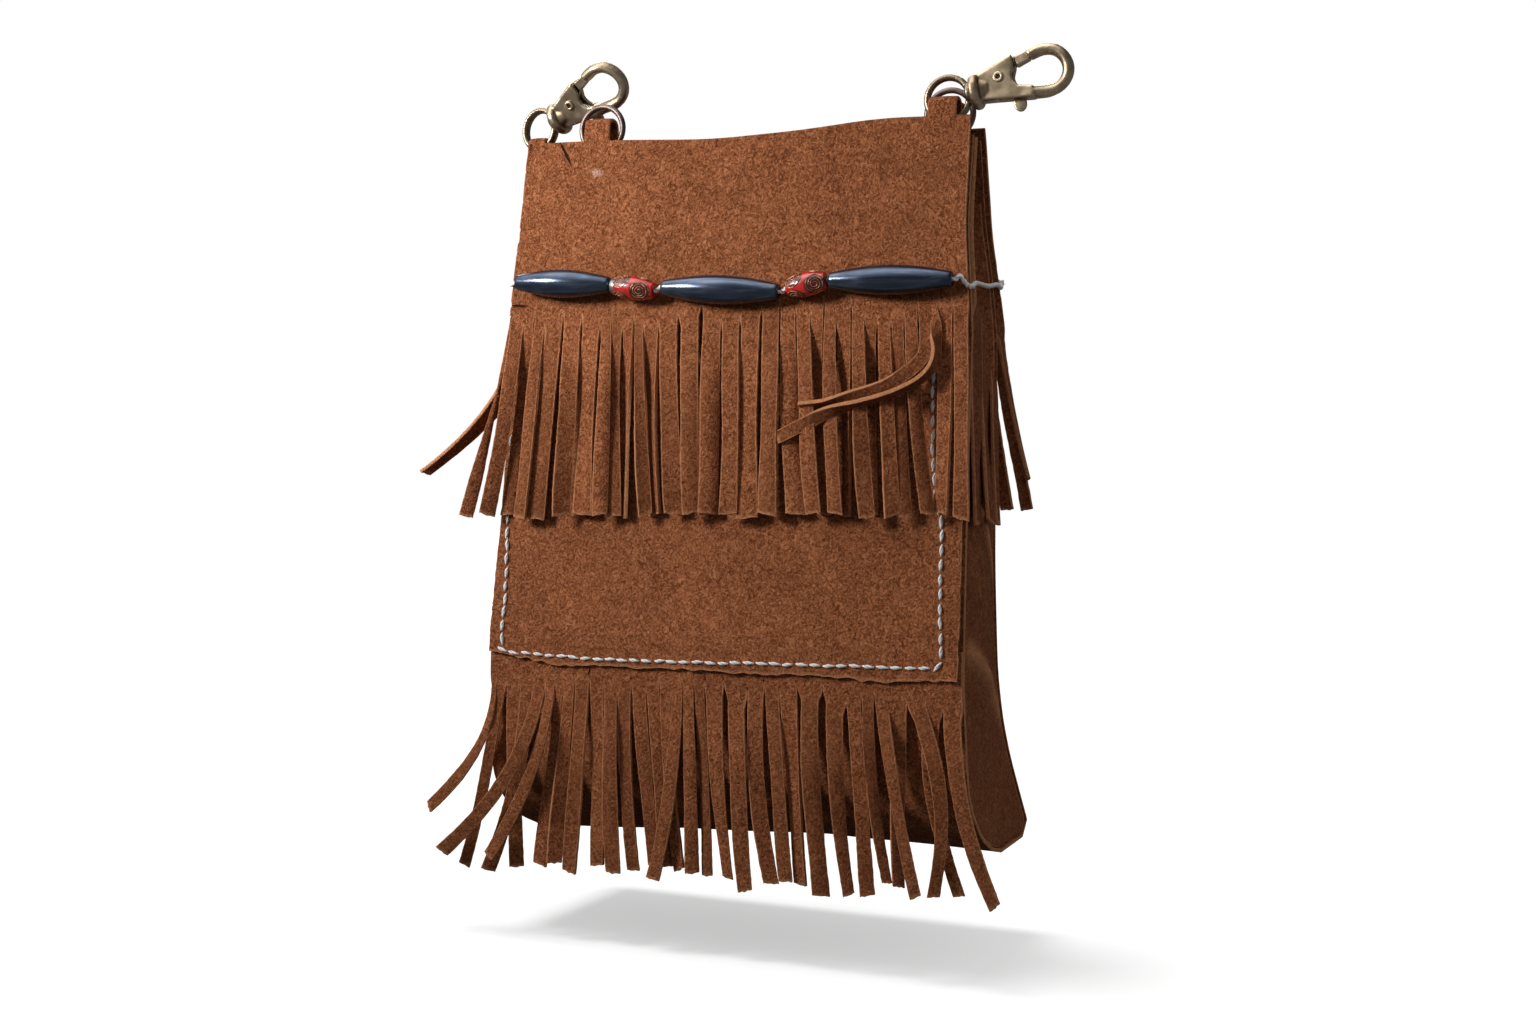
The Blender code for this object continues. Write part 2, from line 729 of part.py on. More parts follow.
def make_clip_eye(name, frame):
    ring = [
        Vector((EYE_MIDDLE_RADIUS * math.cos(a) - EYE_TO_FLANGE, EYE_MIDDLE_RADIUS * math.sin(a), 0.0))
        for a in spaced(0.0, 2 * math.pi, 26)[:-1]
    ]
    verts, faces = tube_mesh(ring, CLIP_EYE_WIRE_RADIUS, 8, closed=True)
    verts = [(v.x, v.y, v.z * CLIP_EYE_HALF_DEPTH / CLIP_EYE_WIRE_RADIUS) for v in verts]
    centre = frame @ Vector((-EYE_TO_FLANGE, 0, 0))
    obj = add_object(name, placed(verts, frame), faces, centre)
    inner = -EYE_TO_FLANGE + CLIP_EYE_HOLE_RADIUS + 0.1
    outer = FLANGE_START - GAP
    head = FLANGE_START + BORE_DEPTH - 0.5
    profile = [
        (inner, 0.0), (inner, CLIP_BOSS_RADIUS - 0.7), (inner + 0.4, CLIP_BOSS_RADIUS),
        (outer, CLIP_BOSS_RADIUS), (outer, CLIP_POST_RADIUS), (head - 0.9, CLIP_POST_RADIUS),
        (head - 0.9, CLIP_POST_HEAD_RADIUS), (head, CLIP_POST_HEAD_RADIUS), (head, 0.0),
    ]
    boss_verts, boss_faces = turned_mesh(profile, 16, (1, 0, 0), (0, 1, 0), (0, 0, 0))
    boss = add_object(f"{name}_boss", placed(boss_verts, frame), boss_faces, centre)
    boolean(obj, boss, "UNION")
    return obj


def make_clip_hook(name, frame):
    origin = frame @ Vector((0, 0, 0))
    outline = prism_mesh(HOUSING_OUTLINE, -CLIP_HALF_DEPTH, CLIP_HALF_DEPTH)
    obj = add_object(name, placed(outline[0], frame), outline[1], origin, smooth=False)

    def helper(suffix, mesh, operation):
        piece = add_object(f"{name}_{suffix}", placed(mesh[0], frame), mesh[1], origin)
        boolean(obj, piece, operation)

    loop = [(p.x, p.y, 0.0) for p in smooth_path(HOOK_CENTRELINE, 2)]
    wire_verts, wire_faces = tube_mesh(loop, CLIP_WIRE_RADIUS, 10)
    deepen = [(-6.5, 1.0), (-1.0, 1.1), (8.5, CLIP_NOSE_HALF_DEPTH / CLIP_WIRE_RADIUS)]
    wire_verts = [(v.x, v.y, v.z * along(deepen, v.y)) for v in wire_verts]
    helper("loop", (wire_verts, wire_faces), "UNION")
    end = FLANGE_START + CLIP_FLANGE_LENGTH
    flange = [
        (FLANGE_START, 0.0), (FLANGE_START, CLIP_FLANGE_RADIUS - 0.6), (FLANGE_START + 0.6, CLIP_FLANGE_RADIUS),
        (end - 0.6, CLIP_FLANGE_RADIUS), (end, CLIP_FLANGE_RADIUS - 0.6), (end, CLIP_FLANGE_RADIUS - 1.5),
        (end + 2.6, CLIP_HALF_DEPTH + 0.45), (end + 2.6, 0.0),
    ]
    helper("flange", turned_mesh(flange, 20, (1, 0, 0), (0, 1, 0), (0, 0, 0)), "UNION")
    helper("slot", prism_mesh(SLOT_OUTLINE, -CLIP_SLOT_HALF_DEPTH, CLIP_SLOT_HALF_DEPTH), "DIFFERENCE")
    chamber = FLANGE_START + BORE_DEPTH
    bore = [
        (FLANGE_START - 1.0, 0.0), (FLANGE_START - 1.0, CLIP_POST_RADIUS + GAP),
        (chamber - 1.7, CLIP_POST_RADIUS + GAP), (chamber - 1.7, CLIP_POST_HEAD_RADIUS + GAP),
        (chamber, CLIP_POST_HEAD_RADIUS + GAP), (chamber, 0.0),
    ]
    helper("bore", turned_mesh(bore, 14, (1, 0, 0), (0, 1, 0), (0, 0, 0)), "DIFFERENCE")
    hole = [
        (-CLIP_HALF_DEPTH - 1.0, 0.0), (-CLIP_HALF_DEPTH - 1.0, CLIP_RIVET_RADIUS + 0.2),
        (CLIP_HALF_DEPTH + 1.0, CLIP_RIVET_RADIUS + 0.2), (CLIP_HALF_DEPTH + 1.0, 0.0),
    ]
    pivot = (CLIP_PIVOT[0], CLIP_PIVOT[1], 0.0)
    helper("rivet_hole", turned_mesh(hole, 12, (0, 0, 1), (1, 0, 0), pivot), "DIFFERENCE")
    reach = CLIP_GATE_REACH + GAP
    sector = [(CLIP_PIVOT[0] + 6.0, CLIP_PIVOT[1] + 2.4)]
    sector += [
        (CLIP_PIVOT[0] + reach * math.cos(a), CLIP_PIVOT[1] + reach * math.sin(a))
        for a in spaced(math.radians(12.0), math.radians(42.0), 8)
    ]
    helper("tip", prism_mesh(sector, -CLIP_NOSE_HALF_DEPTH - 0.5, CLIP_NOSE_HALF_DEPTH + 0.5), "DIFFERENCE")
    return obj


def make_clip_gate(name, frame):
    pivot = frame @ Vector((CLIP_PIVOT[0], CLIP_PIVOT[1], 0.0))
    plate_low = -CLIP_LEVER_THICKNESS - 0.1
    plate = prism_mesh(LEVER_OUTLINE, plate_low, plate_low + CLIP_LEVER_THICKNESS)
    obj = add_object(name, placed(plate[0], frame), plate[1], pivot, smooth=False)
    bar_mesh = prism_mesh(GATE_OUTLINE, -CLIP_GATE_HALF_DEPTH, CLIP_GATE_HALF_DEPTH)
    bar = add_object(f"{name}_bar", placed(bar_mesh[0], frame), bar_mesh[1], pivot, smooth=False)
    boolean(obj, bar, "UNION")
    hole = [(-2.5, 0.0), (-2.5, CLIP_RIVET_RADIUS + 0.2), (1.0, CLIP_RIVET_RADIUS + 0.2), (1.0, 0.0)]
    place = (CLIP_PIVOT[0], CLIP_PIVOT[1], 0.0)
    hole_mesh = turned_mesh(hole, 12, (0, 0, 1), (1, 0, 0), place)
    cutter = add_object(f"{name}_hole", placed(hole_mesh[0], frame), hole_mesh[1], pivot)
    boolean(obj, cutter, "DIFFERENCE")
    far = CLIP_GATE_REACH + 4.0
    ends = [
        (CLIP_PIVOT[0] + r * math.cos(a), CLIP_PIVOT[1] + r * math.sin(a))
        for r, angles in ((CLIP_GATE_REACH, spaced(10.0, 45.0, 8)), (far, spaced(45.0, 10.0, 2)))
        for a in [math.radians(d) for d in angles]
    ]
    end_mesh = prism_mesh(ends, -2.0, 2.0)
    end = add_object(f"{name}_end", placed(end_mesh[0], frame), end_mesh[1], pivot)
    boolean(obj, end, "DIFFERENCE")
    return obj


def make_clip_rivet(name, frame):
    seat = CLIP_HALF_DEPTH + 0.15
    head = seat + 0.45
    profile = [
        (-head, CLIP_RIVET_BORE), (-head, CLIP_RIVET_HEAD_RADIUS - 0.25), (-seat, CLIP_RIVET_HEAD_RADIUS),
        (-seat, CLIP_RIVET_RADIUS), (seat, CLIP_RIVET_RADIUS), (seat, CLIP_RIVET_HEAD_RADIUS),
        (head, CLIP_RIVET_HEAD_RADIUS - 0.25), (head, CLIP_RIVET_BORE),
    ]
    pivot = (CLIP_PIVOT[0], CLIP_PIVOT[1], 0.0)
    verts, faces = turned_mesh(profile, 12, (0, 0, 1), (1, 0, 0), pivot)
    return add_object(name, placed(verts, frame), faces, frame @ Vector(pivot))


def make_clip_spring(name, frame):
    low = CLIP_SPRING_WIRE_RADIUS + 0.15
    high = CLIP_SLOT_HALF_DEPTH - CLIP_SPRING_WIRE_RADIUS - 0.15
    turns = 1.6
    path = []
    for a in spaced(math.radians(70.0), math.radians(70.0 + 360.0 * turns), 16):
        share = (a - math.radians(70.0)) / math.radians(360.0 * turns)
        path.append((
            CLIP_PIVOT[0] + CLIP_SPRING_RADIUS * math.cos(a),
            CLIP_PIVOT[1] + CLIP_SPRING_RADIUS * math.sin(a) - 0.2,
            low + (high - low) * share,
        ))
    verts, faces = tube_mesh(path, CLIP_SPRING_WIRE_RADIUS, 5)
    pivot = Vector((CLIP_PIVOT[0], CLIP_PIVOT[1], 0.0))
    return add_object(name, placed(verts, frame), faces, frame @ pivot)


def make_clip(prefix, eye_centre, rise_deg, yaw_deg, swivel_deg, brass, steel):
    eye_frame, hook_frame = clip_frames(eye_centre, rise_deg, yaw_deg, swivel_deg)
    set_material(make_clip_eye(f"{prefix}_clip_eye", eye_frame), brass)
    set_material(make_clip_hook(f"{prefix}_clip_hook", hook_frame), brass)
    set_material(make_clip_gate(f"{prefix}_clip_gate", hook_frame), brass)
    set_material(make_clip_rivet(f"{prefix}_clip_rivet", hook_frame), brass)
    set_material(make_clip_spring(f"{prefix}_clip_spring", hook_frame), steel)


# Beads and threads
BEAD_Y = front_y(-BEAD_DROP) - FLAP_OUT - GAP - LONG_BEAD_RADIUS


def bead_axis(slope_deg):
    return Vector((math.cos(math.radians(slope_deg)), 0.0, -math.sin(math.radians(slope_deg))))


def bead_centre(start, length, drop, slope_deg):
    return Vector((start + 0.5 * length * math.cos(math.radians(slope_deg)), BEAD_Y, -drop))


def make_bead(name, rings, radius, end_radius):
    """A spindle: widest in the middle, cut off square at both ends."""
    length = BEADS[name][1]
    profile = []
    for k in range(rings + 1):
        share = -1 + 2 * k / rings
        profile.append((share * length / 2, end_radius + (radius - end_radius) * math.cos(0.5 * math.pi * share)))
    profile += [(length / 2, BEAD_BORE_RADIUS), (-length / 2, BEAD_BORE_RADIUS)]
    centre = bead_centre(*BEADS[name])
    verts, faces = turned_mesh(profile, 16, bead_axis(BEADS[name][3]), (0, 1, 0), centre)
    return add_object(name, verts, faces, centre)


def make_beads(blue, red):
    for name in BEADS:
        if name in SHORT_BEADS:
            set_material(make_bead(name, 8, SHORT_BEAD_RADIUS, SHORT_BEAD_END_RADIUS), red)
        else:
            set_material(make_bead(name, 10, LONG_BEAD_RADIUS, LONG_BEAD_END_RADIUS), blue)


def make_bead_thread():
    """One closed loop: through the beads, round both side edges and across the back flap."""
    r = BEAD_THREAD_RADIUS
    out = GAP + r
    side_x = half_width(-BEAD_DROP) + GAP + SUEDE + out
    front = front_y(-BEAD_DROP) - FLAP_OUT - out
    z_front = -BEAD_DROP
    z_rear = z_front + THREAD_RISE_BEHIND
    rear = back_flap_y(z_rear) + out + 0.4
    path = []
    for start, length, drop, slope_deg in BEADS.values():
        centre = bead_centre(start, length, drop, slope_deg)
        reach = bead_axis(slope_deg) * (length / 2 + 0.25)
        path += [centre - reach, centre + reach]
    path += [
        Vector((side_x - 1.6, front - 1.2, z_front - 1.6)),
        Vector((side_x, front + 1.8, z_front - 1.6)),
        Vector((side_x, 0.5 * (front + rear), z_front + 0.5 * THREAD_RISE_BEHIND)),
        Vector((side_x, rear - 2.0, z_rear)),
        Vector((side_x - 2.0, rear, z_rear)),
        Vector((0.0, rear, z_rear)),
        Vector((-side_x + 2.0, rear, z_rear)),
        Vector((-side_x, rear - 2.0, z_rear)),
        Vector((-side_x, 0.5 * (front + rear), z_front + 0.5 * THREAD_RISE_BEHIND)),
        Vector((-side_x, front + 1.8, z_front + 2.4)),
        Vector((-side_x + 1.2, front - 1.0, z_front + 2.4)),
    ]
    verts, faces = tube_mesh(path, r, 6, closed=True)
    return add_object("bead_thread", verts, faces)


def make_pocket_thread():
    """The sewing thread along the sides and the lower edge of the pocket patch."""
    r = POCKET_THREAD_RADIUS
    out = GAP + r
    top = UPPER_TIP - 2.5
    low = POCKET_BOTTOM + POCKET_STITCH_INSET - 1.0
    ramp = PATCH_RAMP_LENGTH - LOWER_HEADER_TOP_DROP
    levels = [top, ramp, 0.5 * (low + ramp), low]

    def at(side, z):
        return Vector((side * (half_width(z) - POCKET_STITCH_INSET), front_y(z) - patch_out(z) - out, z))

    path = [at(-1, z) for z in levels]
    path += [at(1, z) for z in reversed(levels)]
    verts, faces = tube_mesh(path, r, 6)
    return add_object("pocket_thread", verts, faces)


def make_material(name, colour, roughness, metallic=0.0):
    material = bpy.data.materials.new(name)
    material.use_nodes = True
    shader = material.node_tree.nodes["Principled BSDF"]
    shader.inputs["Base Color"].default_value = (*colour, 1.0)
    shader.inputs["Roughness"].default_value = roughness
    shader.inputs["Metallic"].default_value = metallic
    material.diffuse_color = (*colour, 1.0)
    return material


def main():
    clear_scene()
    suede = make_material("suede", (0.27, 0.10, 0.045), 0.95)
    brass = make_material("antique brass", (0.33, 0.26, 0.17), 0.35, 1.0)
    nickel = make_material("tinted nickel", (0.50, 0.42, 0.38), 0.30, 1.0)
    steel = make_material("spring steel", (0.45, 0.45, 0.45), 0.35, 1.0)
    blue = make_material("blue glass", (0.03, 0.045, 0.10), 0.35)
    red = make_material("red glass", (0.55, 0.03, 0.02), 0.25)
    thread = make_material("white thread", (0.80, 0.78, 0.74), 0.9)

    sheets = [
        make_body_wrap(),
        make_gusset("left_gusset", -1),
        make_gusset("right_gusset", 1),
        make_front_fringe(),
        make_back_fringe(),
        make_side_fringe("left_side_fringe", -1),
        make_side_fringe("right_side_fringe", 1),
        make_pocket_patch(),
        make_lower_fringe(),
        make_tab("front_left_tab", FRONT_LEFT_TAB_X, FRONT_RING_Y, front_y),
        make_tab("front_right_tab", FRONT_RIGHT_TAB_X, FRONT_RING_Y, front_y),
        make_tab(
            "back_left_tab", BACK_LEFT_TAB_X, BACK_RING_Y, back_y,
            BACK_LEFT_TAB_WIDTH, BACK_LEFT_TAB_RISE, BACK_LEFT_TAB_LEAN,
        ),
        make_tab("back_right_tab", BACK_RIGHT_TAB_X, BACK_RING_Y, back_y),
    ]
    for sheet in sheets:
        set_material(sheet, suede)

    set_material(make_ring("front_left_ring", FRONT_LEFT_TAB_X + 0.2, FRONT_RING_Y), nickel)
    set_material(make_ring("back_right_ring", BACK_RIGHT_TAB_X + 0.2, BACK_RING_Y), nickel)

    right_eye = (RIGHT_CLIP_EYE_X, FRONT_RING_Y, RIGHT_CLIP_EYE_Z)
    left_eye = (LEFT_CLIP_EYE_X, BACK_RING_Y, LEFT_CLIP_EYE_Z)
    make_clip("right", right_eye, RIGHT_CLIP_RISE_DEG, 0.0, 0.0, brass, steel)
    make_clip("left", left_eye, LEFT_CLIP_RISE_DEG, LEFT_CLIP_YAW_DEG, LEFT_CLIP_SWIVEL_DEG, brass, steel)

    make_beads(blue, red)
    set_material(make_bead_thread(), thread)
    set_material(make_pocket_thread(), thread)


main()
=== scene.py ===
"""The looks of the fringed suede bag: napped suede sheets, cut strands, stitches, beads and cast snap clips.

Lengths are in millimetres, in the bag's own frame: X along the front, Y from front to back, Z up.
"""

import random
from math import atan2, cos, exp, hypot, pi, radians, sin, sqrt
from random import uniform

import bmesh
import bpy
from mathutils import Matrix, Vector, noise


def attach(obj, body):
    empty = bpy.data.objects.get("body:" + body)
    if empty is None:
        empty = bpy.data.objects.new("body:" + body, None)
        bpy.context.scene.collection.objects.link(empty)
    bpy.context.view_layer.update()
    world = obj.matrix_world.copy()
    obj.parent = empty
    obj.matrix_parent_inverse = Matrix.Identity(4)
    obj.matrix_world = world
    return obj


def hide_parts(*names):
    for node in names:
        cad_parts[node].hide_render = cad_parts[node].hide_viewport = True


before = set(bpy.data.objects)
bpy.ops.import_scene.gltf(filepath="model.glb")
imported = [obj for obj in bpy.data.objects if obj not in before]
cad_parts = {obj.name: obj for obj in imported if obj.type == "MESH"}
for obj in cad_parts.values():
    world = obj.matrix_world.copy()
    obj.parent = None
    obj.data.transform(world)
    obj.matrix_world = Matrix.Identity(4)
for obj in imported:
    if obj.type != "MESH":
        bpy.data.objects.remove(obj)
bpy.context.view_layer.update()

MM = 0.001

# Camera: a point, what it looks at, its focal length in pixels of a 1536 by 1024 picture, and its roll
CAMERA_PLACE = Vector((210.1, -516.6, -118.0))
CAMERA_AIM = Vector((14.6, -10.0, -118.0))
FOCAL_PX = 1765.0
TO_CAMERA = (CAMERA_PLACE.x - CAMERA_AIM.x) / (CAMERA_AIM.y - CAMERA_PLACE.y)
PICTURE_WIDTH = 1536
PICTURE_HEIGHT = 1024
CAMERA_ROLL_DEG = 1.3
FLOOR_Z = -256.0

# The same sizes as the solid pouch
GAP = 0.3
SUEDE = 1.2
TOP_HALF_WIDTH = 73.0
BASE_HALF_WIDTH = 80.5
BODY_HEIGHT = 221.5
BASE = -BODY_HEIGHT
PANEL_TOP = -4.1
FRONT_TOP_Y = -5.2
BACK_TOP_Y = 4.5
FRONT_BULGE = 4.6
FRONT_CHAMFER_DEPTH = 31.0
FRONT_CHAMFER_RISE = 19.0
BACK_BEAD_LINE_Y = 22.0
BACK_WAIST_Y = 26.5
BACK_POCKET_Y = 34.5
BACK_CORNER_Y = 64.0
BACK_CORNER_RISE = 4.5
GUSSET_TOP = -22.0
GUSSET_FOLD_DEPTH = 6.0
ROOT = -57.0
UPPER_TIP = -119.5
BEAD_DROP = 48.0
POCKET_TOP = -72.0
POCKET_BOTTOM = -168.0
LOWER_HEADER_TOP = -158.0
LOWER_ROOT = -172.5
LOWER_TIP = -232.5
LAYER = GAP + SUEDE
FLAP_OUT = 2 * LAYER
FLAP_TOP_OUT = 4.6
SIDE_FLAP_BEHIND = 3.0
UPPER_REACH = (0.0, ROOT + 6.0, ROOT, UPPER_TIP)
EDGE_ROUNDING = 0.32
WIDEST_UPPER_ROOT = 5.8
WIDEST_LOWER_ROOT = 5.4
LOWER_TIP_WIDTHS = (3.2, 5.2)
FRONTWARD = Vector((0, -1, 0))
BACKWARD = Vector((0, 1, 0))

# How far the sewn edges lean to the right of the solid's, by height, and across the width how far the bottom
# sags and how far the flap's top edge rises
LEFT_LEAN = (
    (0.0, 2.6), (-22.7, 1.1), (-45.5, -0.3), (-63.0, -0.6), (-122.0, -0.9), (-140.0, -2.2), (-167.0, -2.2),
    (-200.0, -1.0), (-212.0, 1.5), (-221.5, 6.0),
)
RIGHT_LEAN = (
    (0.0, 2.7), (-15.0, 1.6), (-31.0, 0.6), (-49.0, 1.4), (-63.0, 2.1), (-119.0, 0.3), (-167.0, -1.3),
    (-195.0, -0.4), (-221.5, 1.2),
)
BOTTOM_SAG = ((0.0, 6.3), (0.2, 4.8), (0.45, 2.8), (0.65, 1.4), (1.0, 1.5))
TOP_WAVE = ((-75.0, 0.0), (-45.0, -0.3), (-10.0, -2.0), (20.0, -0.8), (45.0, 1.4), (62.0, 1.0), (75.0, 0.8))

# By height: how far the flaps and the patch stand out, how deep the gussets fold in, and their crease
FLAP_STANDS_OUT = ((-18.0, FLAP_OUT), (0.0, FLAP_TOP_OUT))
BACK_FLAP_Y = ((UPPER_TIP, 40.0), (ROOT, 35.0), (-43.0, 31.0), (-20.0, 20.05), (0.0, 9.1))
PATCH_STANDS_OUT = ((LOWER_HEADER_TOP, 2 * LAYER), (LOWER_HEADER_TOP + 16.0, LAYER))
GUSSET_FOLD = (
    (-203.0, 0.0), (-138.0, -1.6), (-108.0, 0.0), (-BEAD_DROP, 0.85 * GUSSET_FOLD_DEPTH),
    (GUSSET_TOP, GUSSET_FOLD_DEPTH),
)
CREASE_PLACE = ((-200.0, 0.72), (-120.0, 0.35), (-60.0, 0.5))
CREASE_DEPTH = ((-205.0, 0.0), (-180.0, 0.8), (-130.0, 0.5), (-118.0, 0.0))

# Two folds across the gussets, as lines of Y and Z
GUSSET_FOLD_LINE = ((7.3, -117.0), (15.5, -126.0), (25.9, -137.0), (35.0, -152.5))
GUSSET_SOFT_LINE = ((-3.0, -158.0), (12.0, -166.0), (22.6, -172.0), (41.0, -183.5))

# Strands of the upper fringe in the photo: where the slits start, and the two corners of each tip
UPPER_SLITS_PX = (
    510, 524, 534, 545, 563, 582, 601, 612, 623, 634, 644, 659, 678, 702, 722, 740, 762, 780, 796,
    811, 824, 837, 851, 865, 877, 891, 904, 918, 932, 937, 953,
)
UPPER_TIPS_PX = (
    (461, 472), (484, 496), (502, 512), (515, 527), (529, 545), (556, 571), (576, 593), (595, 607),
    (608, 620), (620, 630), (640, 652), (650, 663), (667, 684), (686, 699), (700, 716), (722, 737),
    (738, 757), (760, 776), (786, 803), (806, 820), (819, 830), (828, 841), (842, 852), (858, 873),
    (862, 876), (885, 899), (900, 911), (919, 931), (905, 916), (918, 928), (933, 946), (953, 967),
)
UPPER_BEHIND = (2, 9, 11, 20, 22, 24)
UPPER_TURNED_DEG = {1: -25.0, 9: 50.0, 11: 35.0, 22: 40.0, 27: -35.0}
UPPER_SLIT_PY = 330
UPPER_TIP_PY = 516

# The two strands that curl to the left across the others: pixel and depth of their middle, width and lean
LOOSE_UPPER = (
    (925.5, 318, -11.2), (926.5, 334, -12.8), (926, 349, -14.6), (920, 361, -16.0), (907, 372, -16.8),
    (885, 386, -17.0), (853, 396, -16.6), (825, 403.5, -16.0), (800, 407, -15.4),
)
LOOSE_UPPER_LEAN_DEG = ((0.0, 0.0), (0.3, 5.0), (0.45, 30.0), (0.7, 45.0), (0.85, 65.0), (1.0, 60.0))
LOOSE_LOWER = (
    (934.5, 318, -11.2), (936, 340, -13.6), (936, 356, -15.4), (930, 370, -16.6), (917, 381.5, -17.4),
    (897, 391.5, -17.6), (878, 398, -17.6), (853, 404.5, -17.4), (825, 413.5, -16.8), (802, 425, -16.2),
    (777, 438, -15.6),
)
LOOSE_LOWER_LEAN_DEG = ((0.0, 0.0), (0.12, 72.0), (0.6, 78.0), (0.8, 30.0), (0.92, 0.0), (1.0, -5.0))
LOOSE_STRANDS = {28: (LOOSE_UPPER, 4.1, LOOSE_UPPER_LEAN_DEG), 29: (LOOSE_LOWER, 4.0, LOOSE_LOWER_LEAN_DEG)}

# Strands of the lower fringe: root, tip corners, tip height and how many layers it stands in front
LOWER_STRANDS_PX = (
    (491, 426, 436, 805, 1), (500, 461, 471, 863, 1), (512, 512, 524, 866, 0), (526, 483, 495, 869, 0),
    (540, 441, 453, 846, 4), (551, 486, 497, 852, 3), (559, 534, 547, 864, 0), (568, 547, 562, 862, 0),
    (582, 563, 577, 870, 1), (597, 592, 605, 865, 0), (611, 606, 621, 871, 1), (624, 629, 640, 870, 0),
    (639, 650, 661, 864, 0), (653, 662, 673, 866, 0), (666, 674, 685, 869, 0), (677, 646, 660, 876, 2),
    (689, 687, 699, 871, 1), (699, 704, 713, 875, 0), (710, 722, 732, 876, 1), (738, 738, 752, 889, 1),
    (757, 763, 778, 883, 0), (772, 780, 793, 880, 1), (787, 796, 808, 884, 0), (808, 811, 830, 894, 1),
    (838, 842, 853, 893, 1), (855, 861, 875, 894, 1), (868, 881, 890, 882, 0), (881, 909, 920, 893, 3),
    (897, 892, 904, 886, 0), (918, 926, 938, 894, 2), (932, 953, 964, 896, 0), (955, 985, 999, 903, 3),
)
LOWER_ROOT_PY = 690
LOWER_BOW_PX = {0: 6, 29: 17, 30: -8, 31: -6}
LOWER_CURVE = {0: 2.0, 4: 1.9, 5: 1.8, 27: 1.2}

# Tips of the strands that show past the sides, with their depth
STRAY_TIP = (426, 473, -15.0)
RIGHT_SIDE_TIP = (1028, 479, 33.0)
BACK_TIPS = {30: (1006, 510, 40.0), 31: (1025, 510, 40.0)}

# The sewn line on the patch: down the left, along the lower edge, up the right and behind the upper fringe
STITCHES_PX = (
    (509, 440), (506.5, 523), (504.2, 590), (502.8, 640), (505.5, 650.5), (560, 656), (610, 659.5),
    (660, 661.5), (720, 663), (780, 664.3), (850, 666), (925, 668), (938, 667), (940.5, 655), (939, 600),
    (940, 530), (936, 505), (931.5, 445), (930.5, 362),
)
PATCH_EDGE_RISE = ((-1.0, 2.3), (-0.72, 0.0), (0.5, 0.2), (1.0, 1.1))

random.seed(7)


# Interpolation and paths
def smooth_step(t):
    t = min(1.0, max(0.0, t))
    return t * t * (3 - 2 * t)


def mix(a, b, t):
    return a + (b - a) * t


def along(table, x):
    """Value at x from a table of (x, value) pairs, with straight lines between them."""
    rows = sorted(table)
    if x <= rows[0][0]:
        return rows[0][1]
    for (x0, y0), (x1, y1) in zip(rows, rows[1:]):
        if x <= x1:
            return y0 + (y1 - y0) * (x - x0) / max(x1 - x0, 1e-9)
    return rows[-1][1]


def spaced(start, end, steps):
    return [start + (end - start) * i / steps for i in range(steps + 1)]


def smooth_path(points, steps):
    """A curve through the points, with the given number of steps between each pair."""
    pts = [Vector(p) for p in points]
    ext = [2 * pts[0] - pts[1]] + pts + [2 * pts[-1] - pts[-2]]
    path = []
    for i in range(1, len(ext) - 2):
        a, b, c, d = ext[i - 1:i + 3]
        for k in range(steps):
            t = k / steps
            square = (2 * a - 5 * b + 4 * c - d) * t * t
            cube = (3 * b - a - 3 * c + d) * t ** 3
            path.append(0.5 * (2 * b + (c - a) * t + square + cube))
    path.append(pts[-1])
    return path


def offset_path(path, distance):
    """The flat path moved sideways, to its left as it runs."""
    moved = []
    for i, p in enumerate(path):
        before = (p - path[i - 1]).normalized() if i else (path[1] - p).normalized()
        after = (path[i + 1] - p).normalized() if i < len(path) - 1 else before
        left = Vector((-(before.y + after.y), before.x + after.x)).normalized()
        turn = max(0.5, left.dot(Vector((-before.y, before.x))))
        moved.append(p + left * distance / turn)
    return moved


def ripple(point, scale, seed=0.0):
    """Smooth noise from -1 to 1 over a surface, with bumps about scale millimetres across."""
    return noise.noise(Vector(point) / scale + Vector((seed, seed * 1.7, seed * 0.3)))


# The photo's view of the bag
def camera_axes():
    forward = (CAMERA_AIM - CAMERA_PLACE).normalized()
    right = forward.cross(Vector((0, 0, 1))).normalized()
    roll = radians(CAMERA_ROLL_DEG)
    turned_right = right * cos(roll) + right.cross(forward) * sin(roll)
    return forward, turned_right, turned_right.cross(forward)


FORWARD, RIGHT, UP = camera_axes()


def photo_point(px, py, y):
    """The point at depth y that shows at that pixel of the photo."""
    ray = FORWARD + RIGHT * (px - PICTURE_WIDTH / 2) / FOCAL_PX + UP * (PICTURE_HEIGHT / 2 - py) / FOCAL_PX
    return CAMERA_PLACE + ray * ((y - CAMERA_PLACE.y) / ray.y)


def place_object(name, data):
    obj = bpy.data.objects.new(name, data)
    bpy.context.scene.collection.objects.link(obj)
    return obj


def add_camera():
    data = bpy.data.cameras.new("camera")
    data.sensor_width = 36.0
    data.lens = FOCAL_PX * data.sensor_width / PICTURE_WIDTH
    data.clip_end = 50.0
    camera = place_object("camera", data)
    basis = Matrix((RIGHT, UP, -FORWARD)).transposed().to_4x4()
    camera.matrix_world = Matrix.Translation(CAMERA_PLACE * MM) @ basis
    bpy.context.scene.camera = camera


# Pouch profile in the plane of Y and Z
def half_width(z):
    return TOP_HALF_WIDTH + (BASE_HALF_WIDTH - TOP_HALF_WIDTH) * min(1.0, max(0.0, -z / BODY_HEIGHT))


